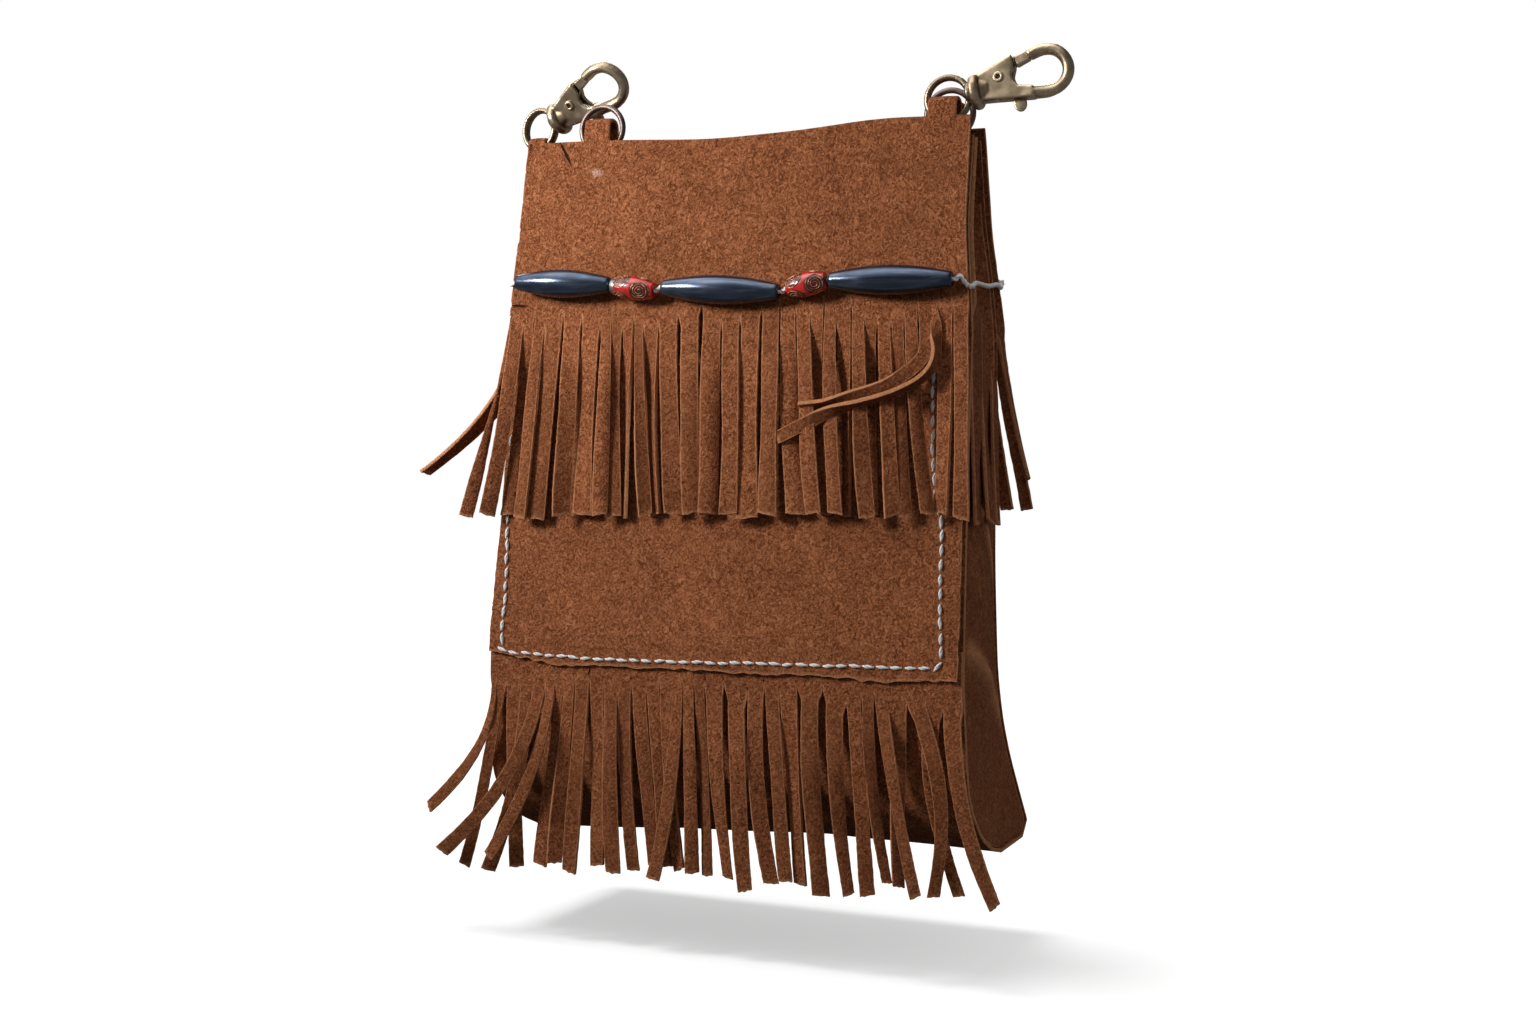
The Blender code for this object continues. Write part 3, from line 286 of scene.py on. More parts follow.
def pouch_path(steps):
    """The front, the flat bottom and the back."""
    low = FRONT_TOP_Y - FRONT_BULGE
    front = [
        (FRONT_TOP_Y, PANEL_TOP), (FRONT_TOP_Y - 0.22 * FRONT_BULGE, -0.2 * BODY_HEIGHT),
        (low + 0.3, -0.45 * BODY_HEIGHT), (low, -0.68 * BODY_HEIGHT),
        (low + 0.6, BASE + FRONT_CHAMFER_RISE + 14.0), (low + 2.6, BASE + FRONT_CHAMFER_RISE),
        (low + 13.0, BASE + 0.42 * FRONT_CHAMFER_RISE),
        (low + 0.8 * FRONT_CHAMFER_DEPTH, BASE + 0.12 * FRONT_CHAMFER_RISE),
    ]
    flat = [
        (low + FRONT_CHAMFER_DEPTH + 5.0, BASE), (0.5 * (low + FRONT_CHAMFER_DEPTH + BACK_CORNER_Y), BASE),
        (BACK_CORNER_Y - 8.0, BASE),
    ]
    back = [
        (BACK_CORNER_Y, BASE + BACK_CORNER_RISE), (BACK_CORNER_Y - 10.0, BASE + 17.5),
        (BACK_CORNER_Y - 20.5, BASE + 31.5), (BACK_POCKET_Y + 2.0, BASE + 45.5),
        (BACK_POCKET_Y - 5.0, -0.65 * BODY_HEIGHT), (BACK_WAIST_Y, -0.54 * BODY_HEIGHT),
        (0.5 * (BACK_WAIST_Y + BACK_BEAD_LINE_Y) + 0.6, -0.36 * BODY_HEIGHT), (BACK_BEAD_LINE_Y, -43.0),
        (BACK_TOP_Y + 0.45 * (BACK_BEAD_LINE_Y - BACK_TOP_Y), -20.0), (BACK_TOP_Y, PANEL_TOP),
    ]
    return smooth_path(front, steps), [Vector(p) for p in flat], smooth_path(back, steps)


def by_height(path):
    return [(p.y, p.x) for p in path]


FRONT_PATH, FLAT_PATH, BACK_PATH = pouch_path(8)
POUCH = FRONT_PATH + FLAT_PATH + BACK_PATH
FRONT_SIDE = by_height(FRONT_PATH)
BACK_SIDE = by_height(BACK_PATH)
GUSSET_LINE = offset_path(POUCH, SUEDE + GAP)
LOWEST = min(p.y for p in GUSSET_LINE)
GUSSET_SPLIT = min(range(len(GUSSET_LINE)), key=lambda i: GUSSET_LINE[i].y)
GUSSET_FRONT = by_height(GUSSET_LINE[:GUSSET_SPLIT + 1])
GUSSET_BACK = by_height(GUSSET_LINE[GUSSET_SPLIT + 2:])


def front_y(z):
    return along(FRONT_SIDE, z)


def back_y(z):
    return along(BACK_SIDE, z)


def side_share(x, z):
    return min(1.0, max(0.0, 0.5 + 0.5 * x / half_width(z)))


def lean(x, z):
    """How far a point of the bag stands to the right of its place in the solid."""
    left, right = (sum(along(t, z + d) for d in (-4.0, 0.0, 4.0)) / 3 for t in (LEFT_LEAN, RIGHT_LEAN))
    return mix(left, right, side_share(x, z))


def leaned(p):
    return Vector((p.x + lean(p.x, p.z), p.y, p.z))


def sagged(p):
    """A point of the pouch with its lean, and with the sag of its bottom."""
    sag = along(BOTTOM_SAG, side_share(p.x, p.z)) * smooth_step((-p.z - 165.0) / 50.0)
    return leaned(p) - Vector((0, 0, sag))


def top_wave(x):
    """How far the flap's top edge rises or sags along the front."""
    ease = [along(TOP_WAVE, x + shift) for shift in (-8.0, -4.0, 0.0, 4.0, 8.0)]
    return sum(ease) / len(ease)


# Meshes: each is a list of points in millimetres and a list of faces
def smooth(mesh):
    mesh.polygons.foreach_set("use_smooth", [True] * len(mesh.polygons))


def add_mesh(name, verts_and_faces, material, **marks):
    """A smooth mesh object; marks are values at its points, such as how near a cut edge is."""
    verts, faces = verts_and_faces
    mesh = bpy.data.meshes.new(name)
    mesh.from_pydata([tuple(Vector(v) * MM) for v in verts], [], [tuple(f) for f in faces])
    for mark, values in marks.items():
        mesh.attributes.new(mark, "FLOAT", "POINT").data.foreach_set("value", values)
    smooth(mesh)
    mesh.materials.append(material)
    return place_object(name, mesh)


def add_modifier(obj, name, kind, **values):
    modifier = obj.modifiers.new(name, kind)
    for key, value in values.items():
        setattr(modifier, key, value)


def apply_modifiers(obj):
    graph = bpy.context.evaluated_depsgraph_get()
    mesh = bpy.data.meshes.new_from_object(obj.evaluated_get(graph))
    obj.modifiers.clear()
    obj.data = mesh


def face_outward(obj):
    work = bmesh.new()
    work.from_mesh(obj.data)
    bmesh.ops.recalc_face_normals(work, faces=work.faces)
    work.to_mesh(obj.data)
    work.free()


def thickened(obj):
    """Turns a surface into a closed sheet of suede round it, whose cut edges are a little rounded."""
    add_modifier(obj, "thickness", "SOLIDIFY", thickness=SUEDE * MM, offset=0.0, use_even_offset=False)
    add_modifier(obj, "rounded cut edges", "BEVEL", width=EDGE_ROUNDING * MM, segments=2,
                 limit_method="ANGLE", angle_limit=radians(55))
    apply_modifiers(obj)
    face_outward(obj)
    smooth(obj.data)
    return obj


def grid_sheet(name, rows, columns, point_at, material, edge_and_highlight_at):
    """A closed sheet round the surface that point_at(row value, column value) gives."""
    spots = [(r, c) for r in rows for c in columns]
    wide = len(columns)
    faces = [
        (r * wide + c, r * wide + c + 1, (r + 1) * wide + c + 1, (r + 1) * wide + c)
        for r in range(len(rows) - 1)
        for c in range(wide - 1)
    ]
    verts = [point_at(*spot) for spot in spots]
    edge = [float(edge_and_highlight_at(*spot)) for spot in spots]
    return thickened(add_mesh(name, (verts, faces), material, cut_edge=edge))


def frames_along(path, closed):
    """Two directions across the path at each of its points, without twist."""
    count = len(path)
    tangents = []
    for i in range(count):
        before = path[i - 1] if closed or i else path[i]
        after = path[(i + 1) % count] if closed or i < count - 1 else path[i]
        tangents.append((after - before).normalized())
    side = tangents[0].orthogonal().normalized()
    frames = []
    for tangent in tangents:
        side = (side - tangent * side.dot(tangent)).normalized()
        frames.append((side, tangent.cross(side)))
    return frames


def ring_at(centre, a, b, radius, sides):
    turns = [2 * pi * k / sides for k in range(sides)]
    return [centre + (a * cos(t) + b * sin(t)) * radius for t in turns]


def ring_faces(rings, sides, closed):
    faces = []
    for r in range(rings if closed else rings - 1):
        low = r * sides
        high = ((r + 1) % rings) * sides
        for k in range(sides):
            n = (k + 1) % sides
            faces.append((low + k, low + n, high + n, high + k))
    return faces


def tube_mesh(path, radius, sides, closed=False):
    """radius is a number, or a function of the share of the way along."""
    points = [Vector(p) for p in path]
    rings = len(points)
    verts = []
    for i, (p, (a, b)) in enumerate(zip(points, frames_along(points, closed))):
        verts += ring_at(p, a, b, radius(i / (rings - 1)) if callable(radius) else radius, sides)
    faces = ring_faces(rings, sides, closed)
    if not closed:
        faces += [tuple(reversed(range(sides))), tuple(range((rings - 1) * sides, rings * sides))]
    return verts, faces


def turned_mesh(profile, sides, axis, across, centre):
    """Turns a closed profile of (distance along the axis, radius) pairs, none of them on the axis."""
    ahead = Vector(axis).normalized()
    a = Vector(across).normalized()
    b = ahead.cross(a)
    verts = []
    for distance, radius in profile:
        verts += ring_at(centre + ahead * distance, a, b, radius, sides)
    return verts, ring_faces(len(profile), sides, True)


def joined(meshes):
    """One mesh from several."""
    verts = []
    faces = []
    for more_verts, more_faces in meshes:
        start = len(verts)
        verts += more_verts
        faces += [tuple(start + i for i in face) for face in more_faces]
    return verts, faces


# Materials
class Nodes:
    """Builds the nodes of a material or a world; a value is a number, a colour or another node's output."""

    def __init__(self, owner):
        owner.use_nodes = True
        self.tree = owner.node_tree

    def put(self, socket, value):
        if isinstance(value, bpy.types.NodeSocket):
            self.tree.links.new(value, socket)
        elif socket.type == "RGBA":
            socket.default_value = (*value, 1.0)
        else:
            socket.default_value = value

    def node(self, kind, inputs, **settings):
        node = self.tree.nodes.new(f"ShaderNode{kind}")
        for key, value in settings.items():
            setattr(node, key, value)
        for key, value in inputs.items():
            self.put(node.inputs[key], value)
        return node.outputs

    def math(self, operation, a, b):
        return self.node("Math", {0: a, 1: b}, operation=operation)[0]

    def plus(self, a, b):
        return self.math("ADD", a, b)

    def times(self, a, b):
        return self.math("MULTIPLY", a, b)

    def greater(self, a, b):
        return self.math("MAXIMUM", a, b)

    def blend(self, factor, a, b, way="MIX"):
        return self.node("Mix", {0: factor, 6: a, 7: b}, data_type="RGBA", blend_type=way)[2]


class Look(Nodes):
    """A material, with where its object's points lie and what is set on its shader."""

    def __init__(self, name, colour, roughness, metallic=0.0):
        self.material = bpy.data.materials.new(name)
        super().__init__(self.material)
        self.place = self.node("TexCoord", {})["Object"]
        self.surface(Base_Color=colour, Roughness=roughness, Metallic=metallic)

    def surface(self, **values):
        shader = self.tree.nodes["Principled BSDF"]
        for key, value in values.items():
            self.put(shader.inputs[key.replace("_", " ")], value)

    def noise(self, scale, detail=3.0, roughness=0.5, distortion=0.0, place=None):
        return self.node("TexNoise", {
            "Vector": place or self.place, "Scale": scale, "Detail": detail, "Roughness": roughness,
            "Distortion": distortion,
        })["Fac"]

    def ramp(self, factor, *stops):
        node = self.tree.nodes.new("ShaderNodeValToRGB")
        elements = node.color_ramp.elements
        while len(elements) < len(stops):
            elements.new(0.5)
        for element, (position, colour) in zip(elements, stops):
            element.position = position
            element.color = (*colour, 1.0)
        self.put(node.inputs[0], factor)
        return node.outputs[0]

    def mark(self, name):
        return self.node("Attribute", {}, attribute_name=name)["Fac"]

    def streak(self, start, end, breadth):
        """A soft long spot from start to end, given as X and Z, that fades out over half its breadth."""
        run = Vector(end) - Vector(start)
        middle = (Vector(start) + Vector(end)) / 2
        place = self.node("Mapping", {
            "Vector": self.place,
            "Location": (middle.x * MM, 0.0, middle.y * MM),
            "Rotation": (0.0, -atan2(run.y, run.x), 0.0),
            "Scale": (0.5 * run.length * MM, 1.0, 0.5 * breadth * MM),
        }, vector_type="TEXTURE")["Vector"]
        return self.node("TexGradient", {"Vector": place}, gradient_type="SPHERICAL")["Fac"]

    def bump(self, height, strength, distance, **normal):
        inputs = {"Height": height, "Strength": strength, "Distance": distance, **normal}
        normal = self.node("Bump", inputs)["Normal"]
        self.surface(Normal=normal)
        return normal


def shaded(colour, share):
    return tuple(share * c for c in colour)


def make_suede(name, dark, mid, light, edge_and_highlight_colour, creases=(), scuffs=()):
    """Napped suede: short wormy fibres, soft blotches, paler cut edges with painted highlights along the
    gussets' folds, any creases with painted shade in them, and any scuffs.
    """
    look = Look(name, mid, 0.95)
    fine = look.noise(1800.0, 2.0, 0.6, 0.8)
    grain = look.plus(look.times(look.noise(620.0, 4.0, 0.62, 1.8), 0.62), look.times(fine, 0.38))
    nap = look.ramp(grain, (0.39, dark), (0.50, mid), (0.61, light))
    blotch = look.noise(55.0, 4.0, 0.6, 0.4)
    patches = look.ramp(blotch, (0.30, (0.84, 0.83, 0.82)), (0.70, (1.12, 1.12, 1.12)))
    colour = look.blend(1.0, nap, patches, "MULTIPLY")
    colour = look.blend(look.mark("nap_tone"), colour, shaded(mid, 0.45))
    # Paler cut edges; on the gussets the same mark also paints highlights along the folds.
    colour = look.blend(look.times(look.mark("cut_edge"), look.times(grain, 1.6)), colour, edge_and_highlight_colour)
    height = grain
    # Each crease is pressed into the bump and painted darker, as painted shade.
    for crease in creases:
        depth = look.math("MINIMUM", look.times(look.streak(*crease), 2.0), 1.0)
        colour = look.blend(depth, colour, shaded(dark, 0.25))
        height = look.math("SUBTRACT", height, depth)
    for scuff in scuffs:
        colour = look.blend(look.times(look.streak(*scuff), look.times(fine, 1.7)), colour, RUBBED)
    look.surface(Base_Color=colour, Specular_IOR_Level=0.08)
    look.surface(Sheen_Weight=0.10, Sheen_Roughness=0.45, Sheen_Tint=(1.0, 0.50, 0.26))
    look.bump(height, 1.0, 0.0012)
    return look.material


def make_brass(name, unevenness, brightness_in_shade=1.0):
    """Antique brass: satin metal, dark in its hollows and worn bright on its edges; a last value below 1
    paints all its tones darker, as painted shade.
    """
    look = Look(name, (0.30, 0.25, 0.165), 0.36, 1.0)
    worn = look.node("NewGeometry", {})["Pointiness"]
    cloud = look.noise(160.0, 4.0, 0.6)
    level = look.plus(worn, look.times(look.math("SUBTRACT", cloud, 0.5), 0.10))
    speck = look.noise(900.0, 3.0, 0.6)
    colour = look.ramp(level, *((place, shaded(tone, brightness_in_shade)) for place, tone in BRASS_TONES))
    look.surface(Base_Color=colour, Roughness=look.plus(look.times(speck, 0.14), 0.33))
    normal = look.bump(look.noise(130.0, 1.0, 0.4), 0.8, unevenness)
    look.bump(speck, 0.04, 0.0001, Normal=normal)
    return look.material


def make_nickel():
    """Plain rings: smooth plate with a slight copper tint."""
    look = Look("tinted_nickel_plate", (0.20, 0.15, 0.13), 0.44, 1.0)
    cloud = look.noise(240.0, 3.0, 0.55)
    look.surface(Base_Color=look.ramp(cloud, (0.35, (0.090, 0.061, 0.052)), (0.65, (0.18, 0.134, 0.116))))
    look.bump(cloud, 0.08, 0.0002)
    return look.material


def make_steel():
    look = Look("spring_wire", (0.45, 0.45, 0.45), 0.3, 1.0)
    look.surface(Base_Color=look.ramp(look.noise(700.0), (0.3, (0.28, 0.28, 0.28)), (0.7, (0.5, 0.5, 0.5))))
    return look.material


def make_blue():
    """Long beads: navy with a satin lustre and faint streaks along their length."""
    look = Look("blue_bead", (0.038, 0.058, 0.100), 0.30, 0.72)
    stretched = look.node("Mapping", {"Vector": look.place, "Scale": (30.0, 900.0, 900.0)})["Vector"]
    streaks = look.noise(1.0, 4.0, 0.6, place=stretched)
    tone = look.plus(look.times(streaks, 0.6), look.times(look.noise(70.0, 3.0, 0.5), 0.4))
    colour = look.ramp(
        tone, (0.36, (0.018, 0.026, 0.045)), (0.50, (0.040, 0.054, 0.084)), (0.64, (0.092, 0.112, 0.150)))
    look.surface(Base_Color=colour, Roughness=look.plus(look.times(streaks, 0.14), 0.13))
    look.bump(streaks, 0.12, 0.0002)
    return look.material


def make_red():
    """Short beads: glossy red, with dark fields under the scrolls."""
    look = Look("red_bead", (0.50, 0.014, 0.010), 0.24)
    cloud = look.noise(420.0, 4.0, 0.6)
    colour = look.ramp(cloud, (0.36, (0.36, 0.008, 0.007)), (0.55, (0.60, 0.018, 0.012)))
    colour = look.blend(look.mark("dark_field"), colour, (0.070, 0.011, 0.008))
    look.surface(Base_Color=colour, Coat_Weight=0.3, Coat_Roughness=0.15)
    return look.material


def make_gilt():
    """The raised scrolls on the red beads: dark gold, nearly black in places."""
    look = Look("gilt_scroll", (0.30, 0.14, 0.07), 0.46, 0.6)
    look.surface(Base_Color=look.ramp(
        look.noise(700.0, 3.0, 0.6),
        (0.36, (0.05, 0.013, 0.008)), (0.50, (0.36, 0.115, 0.055)), (0.66, (0.78, 0.40, 0.22))))
    return look.material


def make_thread():
    look = Look("white_twist", (0.80, 0.78, 0.75), 0.8)
    fuzz = look.noise(2600.0, 3.0, 0.6)
    look.surface(Base_Color=look.ramp(fuzz, (0.30, (0.90, 0.89, 0.87)), (0.50, (1.0, 0.99, 0.98))))
    look.surface(Subsurface_Weight=0.7, Subsurface_Radius=(1.0, 1.0, 1.0), Subsurface_Scale=0.0008)
    look.bump(fuzz, 0.35, 0.0002)
    return look.material


NAP = ((0.130, 0.036, 0.012), (0.300, 0.098, 0.038), (0.500, 0.195, 0.088), (0.620, 0.275, 0.130))
# The sides' copy of the same suede, painted darker as painted shade; its paler edge colour paints highlights
# along their edges and folds
NAP_IN_SHADE = ((0.115, 0.032, 0.011), (0.258, 0.082, 0.032), (0.405, 0.153, 0.068), (0.800, 0.360, 0.180))
RUBBED = (0.62, 0.36, 0.26)
BRASS_TONES = (
    (0.42, (0.022, 0.015, 0.009)), (0.48, (0.20, 0.146, 0.092)), (0.515, (0.42, 0.328, 0.220)),
    (0.56, (0.54, 0.44, 0.31)),
)

# Marks on the flap: the start and end of each, as X and Z, and its breadth; the creases are painted darker as
# painted shade
FLAP_CREASES = (((-60.6, 0.6), (-55.6, -8.8), 1.1), ((-77.0, -52.6), (-70.2, -53.1), 1.0))
FLAP_SCUFFS = (((-50.0, -9.6), (-43.6, -11.4), 3.2), ((-48.6, -9.0), (-47.4, -12.6), 2.0))
SUEDE_FRONT = make_suede("suede_front", *NAP)
SUEDE_FLAP = make_suede("suede_flap", *NAP, FLAP_CREASES, FLAP_SCUFFS)
# The gussets and side strips: the same suede painted darker, as painted shade.
SUEDE_IN_SHADE = make_suede("suede_in_shade", *NAP_IN_SHADE)
BRASS = make_brass("antique_brass_cast", 0.0012)
SMOOTH_BRASS = make_brass("antique_brass_turned", 0.0)
# The eyes' brass: the same metal painted darker, as painted shade.
SHADED_BRASS = make_brass("antique_brass_bow_in_shade", 0.0004, 0.55)
NICKEL = make_nickel()
STEEL = make_steel()
BLUE = make_blue()
RED = make_red()
GILT = make_gilt()
THREAD = make_thread()


def finish_piece(obj, body, slot, *nodes):
    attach(obj, body)
    if nodes:
        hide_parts(*nodes)


def finish_sheet(obj, node, width):
    """Attaches a cut sheet of the pouch's suede to the pouch and hides its solid node; width, its flat size
    in millimetres, is not used.
    """
    finish_piece(obj, "pouch", "suede", node)


# Pouch
POUCH_COLUMNS = 56
GUSSET_ROWS = 140
GUSSET_COLUMNS = 44


def seamward(count):
    """Columns from -1 to 1, close together near the seams."""
    return [sin(0.5 * pi * t) for t in spaced(-1.0, 1.0, count)]


def make_pouch():
    """Front panel, bottom and back panel: one sheet that sags a little between its seams."""
    inner = offset_path(POUCH, SUEDE / 2)

    def point_at(index, share):
        q = inner[index]
        x = share * half_width(POUCH[index].y)
        fade = cos(0.5 * pi * share) ** 0.6 if abs(share) < 1 else 0.0
        dip = (0.5 + 0.5 * ripple((x, q.x, q.y), 38.0, 2.0)) * 1.5 * fade
        if 0 < index < len(inner) - 1:
            q = q + (q - POUCH[index]).normalized() * dip
        return sagged(Vector((x, q.x, q.y)))

    sheet = grid_sheet("pouch_shell", range(len(POUCH)), seamward(POUCH_COLUMNS), point_at, SUEDE_FRONT,
                       lambda r, c: abs(c) > 0.999)
    length = sum((b - a).length for a, b in zip(POUCH, POUCH[1:]))
    finish_sheet(sheet, "body_wrap", half_width(BASE) + half_width(0.0))


def gusset_point(side, z, share, out, tuck=0.0):
    """A point on a gusset: share runs from 0 at the front seam to 1 at the back one."""
    y0 = along(GUSSET_FRONT, z) + tuck
    y1 = along(GUSSET_BACK, z) - tuck
    x = half_width(z) - 0.5 + out - along(GUSSET_FOLD, z) * sin(pi * share)
    return Vector((side * x, y0 + (y1 - y0) * share, z))


def ridge(point, line, width):
    """1 on a line of Y and Z points, falling to 0 beyond its width."""
    place = Vector((point.y, point.z))
    nearest = 99.0
    for a, b in zip(line, line[1:]):
        a = Vector(a)
        run = Vector(b) - a
        share = min(1.0, max(0.0, (place - a).dot(run) / run.length_squared))
        nearest = min(nearest, (place - a - run * share).length)
    return exp(-((nearest / width) ** 2))


def make_gusset(name, side):
    low = LOWEST + 0.1

    def point_at(z, share):
        p = gusset_point(side, z, share, -SUEDE / 2)
        fade = sin(pi * share)
        crease = exp(-((share - along(CREASE_PLACE, z)) / 0.10) ** 2)
        p.x += side * (along(CREASE_DEPTH, z) * crease + 0.45 * fade * (ripple(p, 22.0, 5.0) - 0.6))
        p.x += side * fade * (1.5 * ridge(p, GUSSET_FOLD_LINE, 1.7) + 2.0 * ridge(p, GUSSET_SOFT_LINE, 3.2))
        return sagged(p)

    # How pale each point is: 1 on the cut edges at the seams, and painted highlights along the two folds.
    def seam_edges_and_fold_highlights(z, share):
        p = gusset_point(side, z, share, 0.0)
        fold = 0.95 * ridge(p, GUSSET_FOLD_LINE, 1.4) + 0.70 * ridge(p, GUSSET_SOFT_LINE, 3.4)
        return 1.0 if share in (0.0, 1.0) else min(1.0, fold)

    rows = spaced(GUSSET_TOP, low, GUSSET_ROWS)
    depths = [(point_at(z, 1.0) - point_at(z, 0.0)).length for z in rows]
    sheet = grid_sheet(f"{name}_panel", rows, spaced(0.0, 1.0, GUSSET_COLUMNS), point_at, SUEDE_IN_SHADE, seam_edges_and_fold_highlights)
    finish_sheet(sheet, name, max(depths))


# Fringes: strands are cut from one sheet, so they share its points above their slits
COLUMNS_PER_STRAND = (0.0, 0.09, 0.3, 0.5, 0.7, 0.91, 1.0)
SLIT_RAMP = 5.0
SLIT_GAP = 0.5


def fringe(name, reach, rows, spots, slit_tops, header_at, strands, outward, material, flip=False,
           widens=True):
    """A sheet cut into strands.

    reach holds levels on the flat sheet: its top, where the finer rows start, the root and the tips. rows are
    the numbers of rows above and below that start. spots are where the slits and sides lie along the sheet,
    and header_at(place, level) gives a point on the uncut sheet.
    """
    top, split, root, tip = reach
    levels = spaced(top, split, rows[0]) + spaced(split, tip, rows[1])[1:]
    count = len(strands)
    tops = [slit_tops[0], *slit_tops, slit_tops[-1]]
    last = len(COLUMNS_PER_STRAND) - 1
    verts = []
    edge = []
    tone = []
    index = {}

    def border(k, level):
        return spots[k] * half_width(max(level, root)) / half_width(root) if widens else spots[k]

    def strand_point(i, level, u):
        share = max(0.0, (root - level) / (root - tip))
        point = strands[i].point(share, 1 - u if flip else u, outward)
        if level > root:
            middle = 0.5 * (border(i, root) + border(i + 1, root))
            point += header_at(middle, level) - header_at(middle, root)
        return point

    def vertex(i, j, k):
        level = levels[j]
        u = COLUMNS_PER_STRAND[k]
        if k == last and i < count - 1 and level >= tops[i + 1]:
            return index[(i + 1, j, 0)]
        left, right = (smooth_step((slit - level) / SLIT_RAMP) for slit in tops[i:i + 2])
        weight = mix(left, right, u)
        point = header_at(mix(border(i, level), border(i + 1, level), u), level)
        if weight > 0:
            point = mix(point, strand_point(i, level, u), weight)
        verts.append(point)
        tone.append(0.40 * weight * (0.5 + 0.5 * sin(2.4 * i * i)))
        free_left = k == 0 and (i == 0 or level < tops[i])
        free_right = k == last and (i == count - 1 or level < tops[i + 1])
        edge.append(float(free_left or free_right or j == len(levels) - 1))
        return len(verts) - 1

    for i in reversed(range(count)):
        for j in range(len(levels)):
            for k in range(last + 1):
                index[(i, j, k)] = vertex(i, j, k)
    faces = [
        (index[(i, j, k)], index[(i, j, k + 1)], index[(i, j + 1, k + 1)], index[(i, j + 1, k)])
        for i in range(count)
        for j in range(len(levels) - 1)
        for k in range(last)
    ]
    return thickened(add_mesh(name, (verts, faces), material, cut_edge=edge, nap_tone=tone))


class Strand:
    """A hanging strip: its root and tip, their widths, how it curves, turns and stands off the bag."""

    def __init__(self, root, tip, widths, curve=1.4, lift=0.0, turn_deg=0.0, bow=0.0, cup=0.3, drift=0.0):
        self.root = root
        self.tip = tip
        self.widths = widths
        self.curve = curve
        self.lift = lift
        self.turn = radians(turn_deg)
        self.bow = bow
        self.cup = cup
        self.drift = drift
        self.slant = uniform(-0.8, 0.8)
        self.phase = uniform(0, 6.28)
        self.sway = uniform(0.15, 0.5)

    def point(self, share, u, outward):
        """share runs down the strand from 0 to 1, u across it, and outward is the way it faces."""
        centre = self.centre(share, outward)
        ahead = (self.centre(share + 0.02, outward) - centre).normalized()
        wobble = sin(5.0 * share + self.phase) * share
        turn = self.turn * smooth_step(share * 1.6) + 0.16 * wobble
        across = Matrix.Rotation(turn, 3, ahead) @ ahead.cross(-outward).normalized()
        width = mix(*self.widths, smooth_step(share)) * (1 + 0.05 * sin(9.0 * share + self.phase) * share)
        side = u - 0.5
        ragged = 0.13 * ripple((share * 60.0, 7.0 * self.phase, 3.0 * (u > 0.5)), 1.6) * (abs(side) > 0.4)
        curl = self.cup * (4 * side * side - 0.4) * min(1.0, 3 * share)
        torn = 0.45 * ripple((6.0 * side, self.phase, 0.0), 1.0)
        end = (self.slant * side * 1.6 + torn) * smooth_step((share - 0.93) / 0.07)
        return centre + across * (side * width + ragged) + across.cross(ahead) * curl + ahead * end

    def centre(self, share, outward):
        p = mix(self.root, self.tip, share)
        p.x = mix(self.root.x, self.tip.x, share ** self.curve)
        p.x += self.bow * sin(pi * share) + self.sway * sin(5.2 * share + self.phase) * share
        return p + (outward + Vector((self.drift, 0, 0))) * (self.lift * smooth_step(share * 2.6))


class LooseStrand:
    """A strip that curls across the others: its middle line, its width and its upper edge's lean forward."""

    def __init__(self, pixels, width, lean_deg):
        self.line = smooth_path([photo_point(*spot) for spot in pixels], 20)
        self.width = width
        self.lean_deg = lean_deg
        self.places = [0.0]
        for a, b in zip(self.line, self.line[1:]):
            self.places.append(self.places[-1] + (b - a).length)

    def at(self, share):
        place = min(max(share, 0.0), 1.0) * self.places[-1]
        i = min(len(self.line) - 2, max(0, sum(p < place for p in self.places) - 1))
        part = (place - self.places[i]) / (self.places[i + 1] - self.places[i])
        return self.line[i].lerp(self.line[i + 1], part)

    def point(self, share, u, outward):
        ahead = (self.at(share + 0.02) - self.at(share - 0.02)).normalized()
        upper = ahead.cross(outward).normalized()
        angle = radians(along(self.lean_deg, share))
        across = upper * cos(angle) + outward * sin(angle)
        return self.at(share) - across * ((u - 0.5) * self.width)


def waved(p, wave):
    """A point of a flap with its lean, raised near the top edge by its wave."""
    return leaned(p) + Vector((0, 0, wave * smooth_step(1 + p.z / 45.0)))


def flap_surface(x, z):
    """Middle of the front flap's thickness."""
    y = front_y(min(z, PANEL_TOP)) - along(FLAP_STANDS_OUT, z) + SUEDE / 2
    y -= 0.55 * smooth_step((-z - 2) / 14.0) * (0.5 + ripple((x, 0, z), 34.0, 1.0))
    return waved(Vector((x, y, z)), top_wave(x))


def photo_place(px, py, y, z):
    """The place along the straight outline of what shows at that pixel, at depth y and about height z."""
    x = photo_point(px, py, y).x
    return x - lean(x - lean(x, z), z)


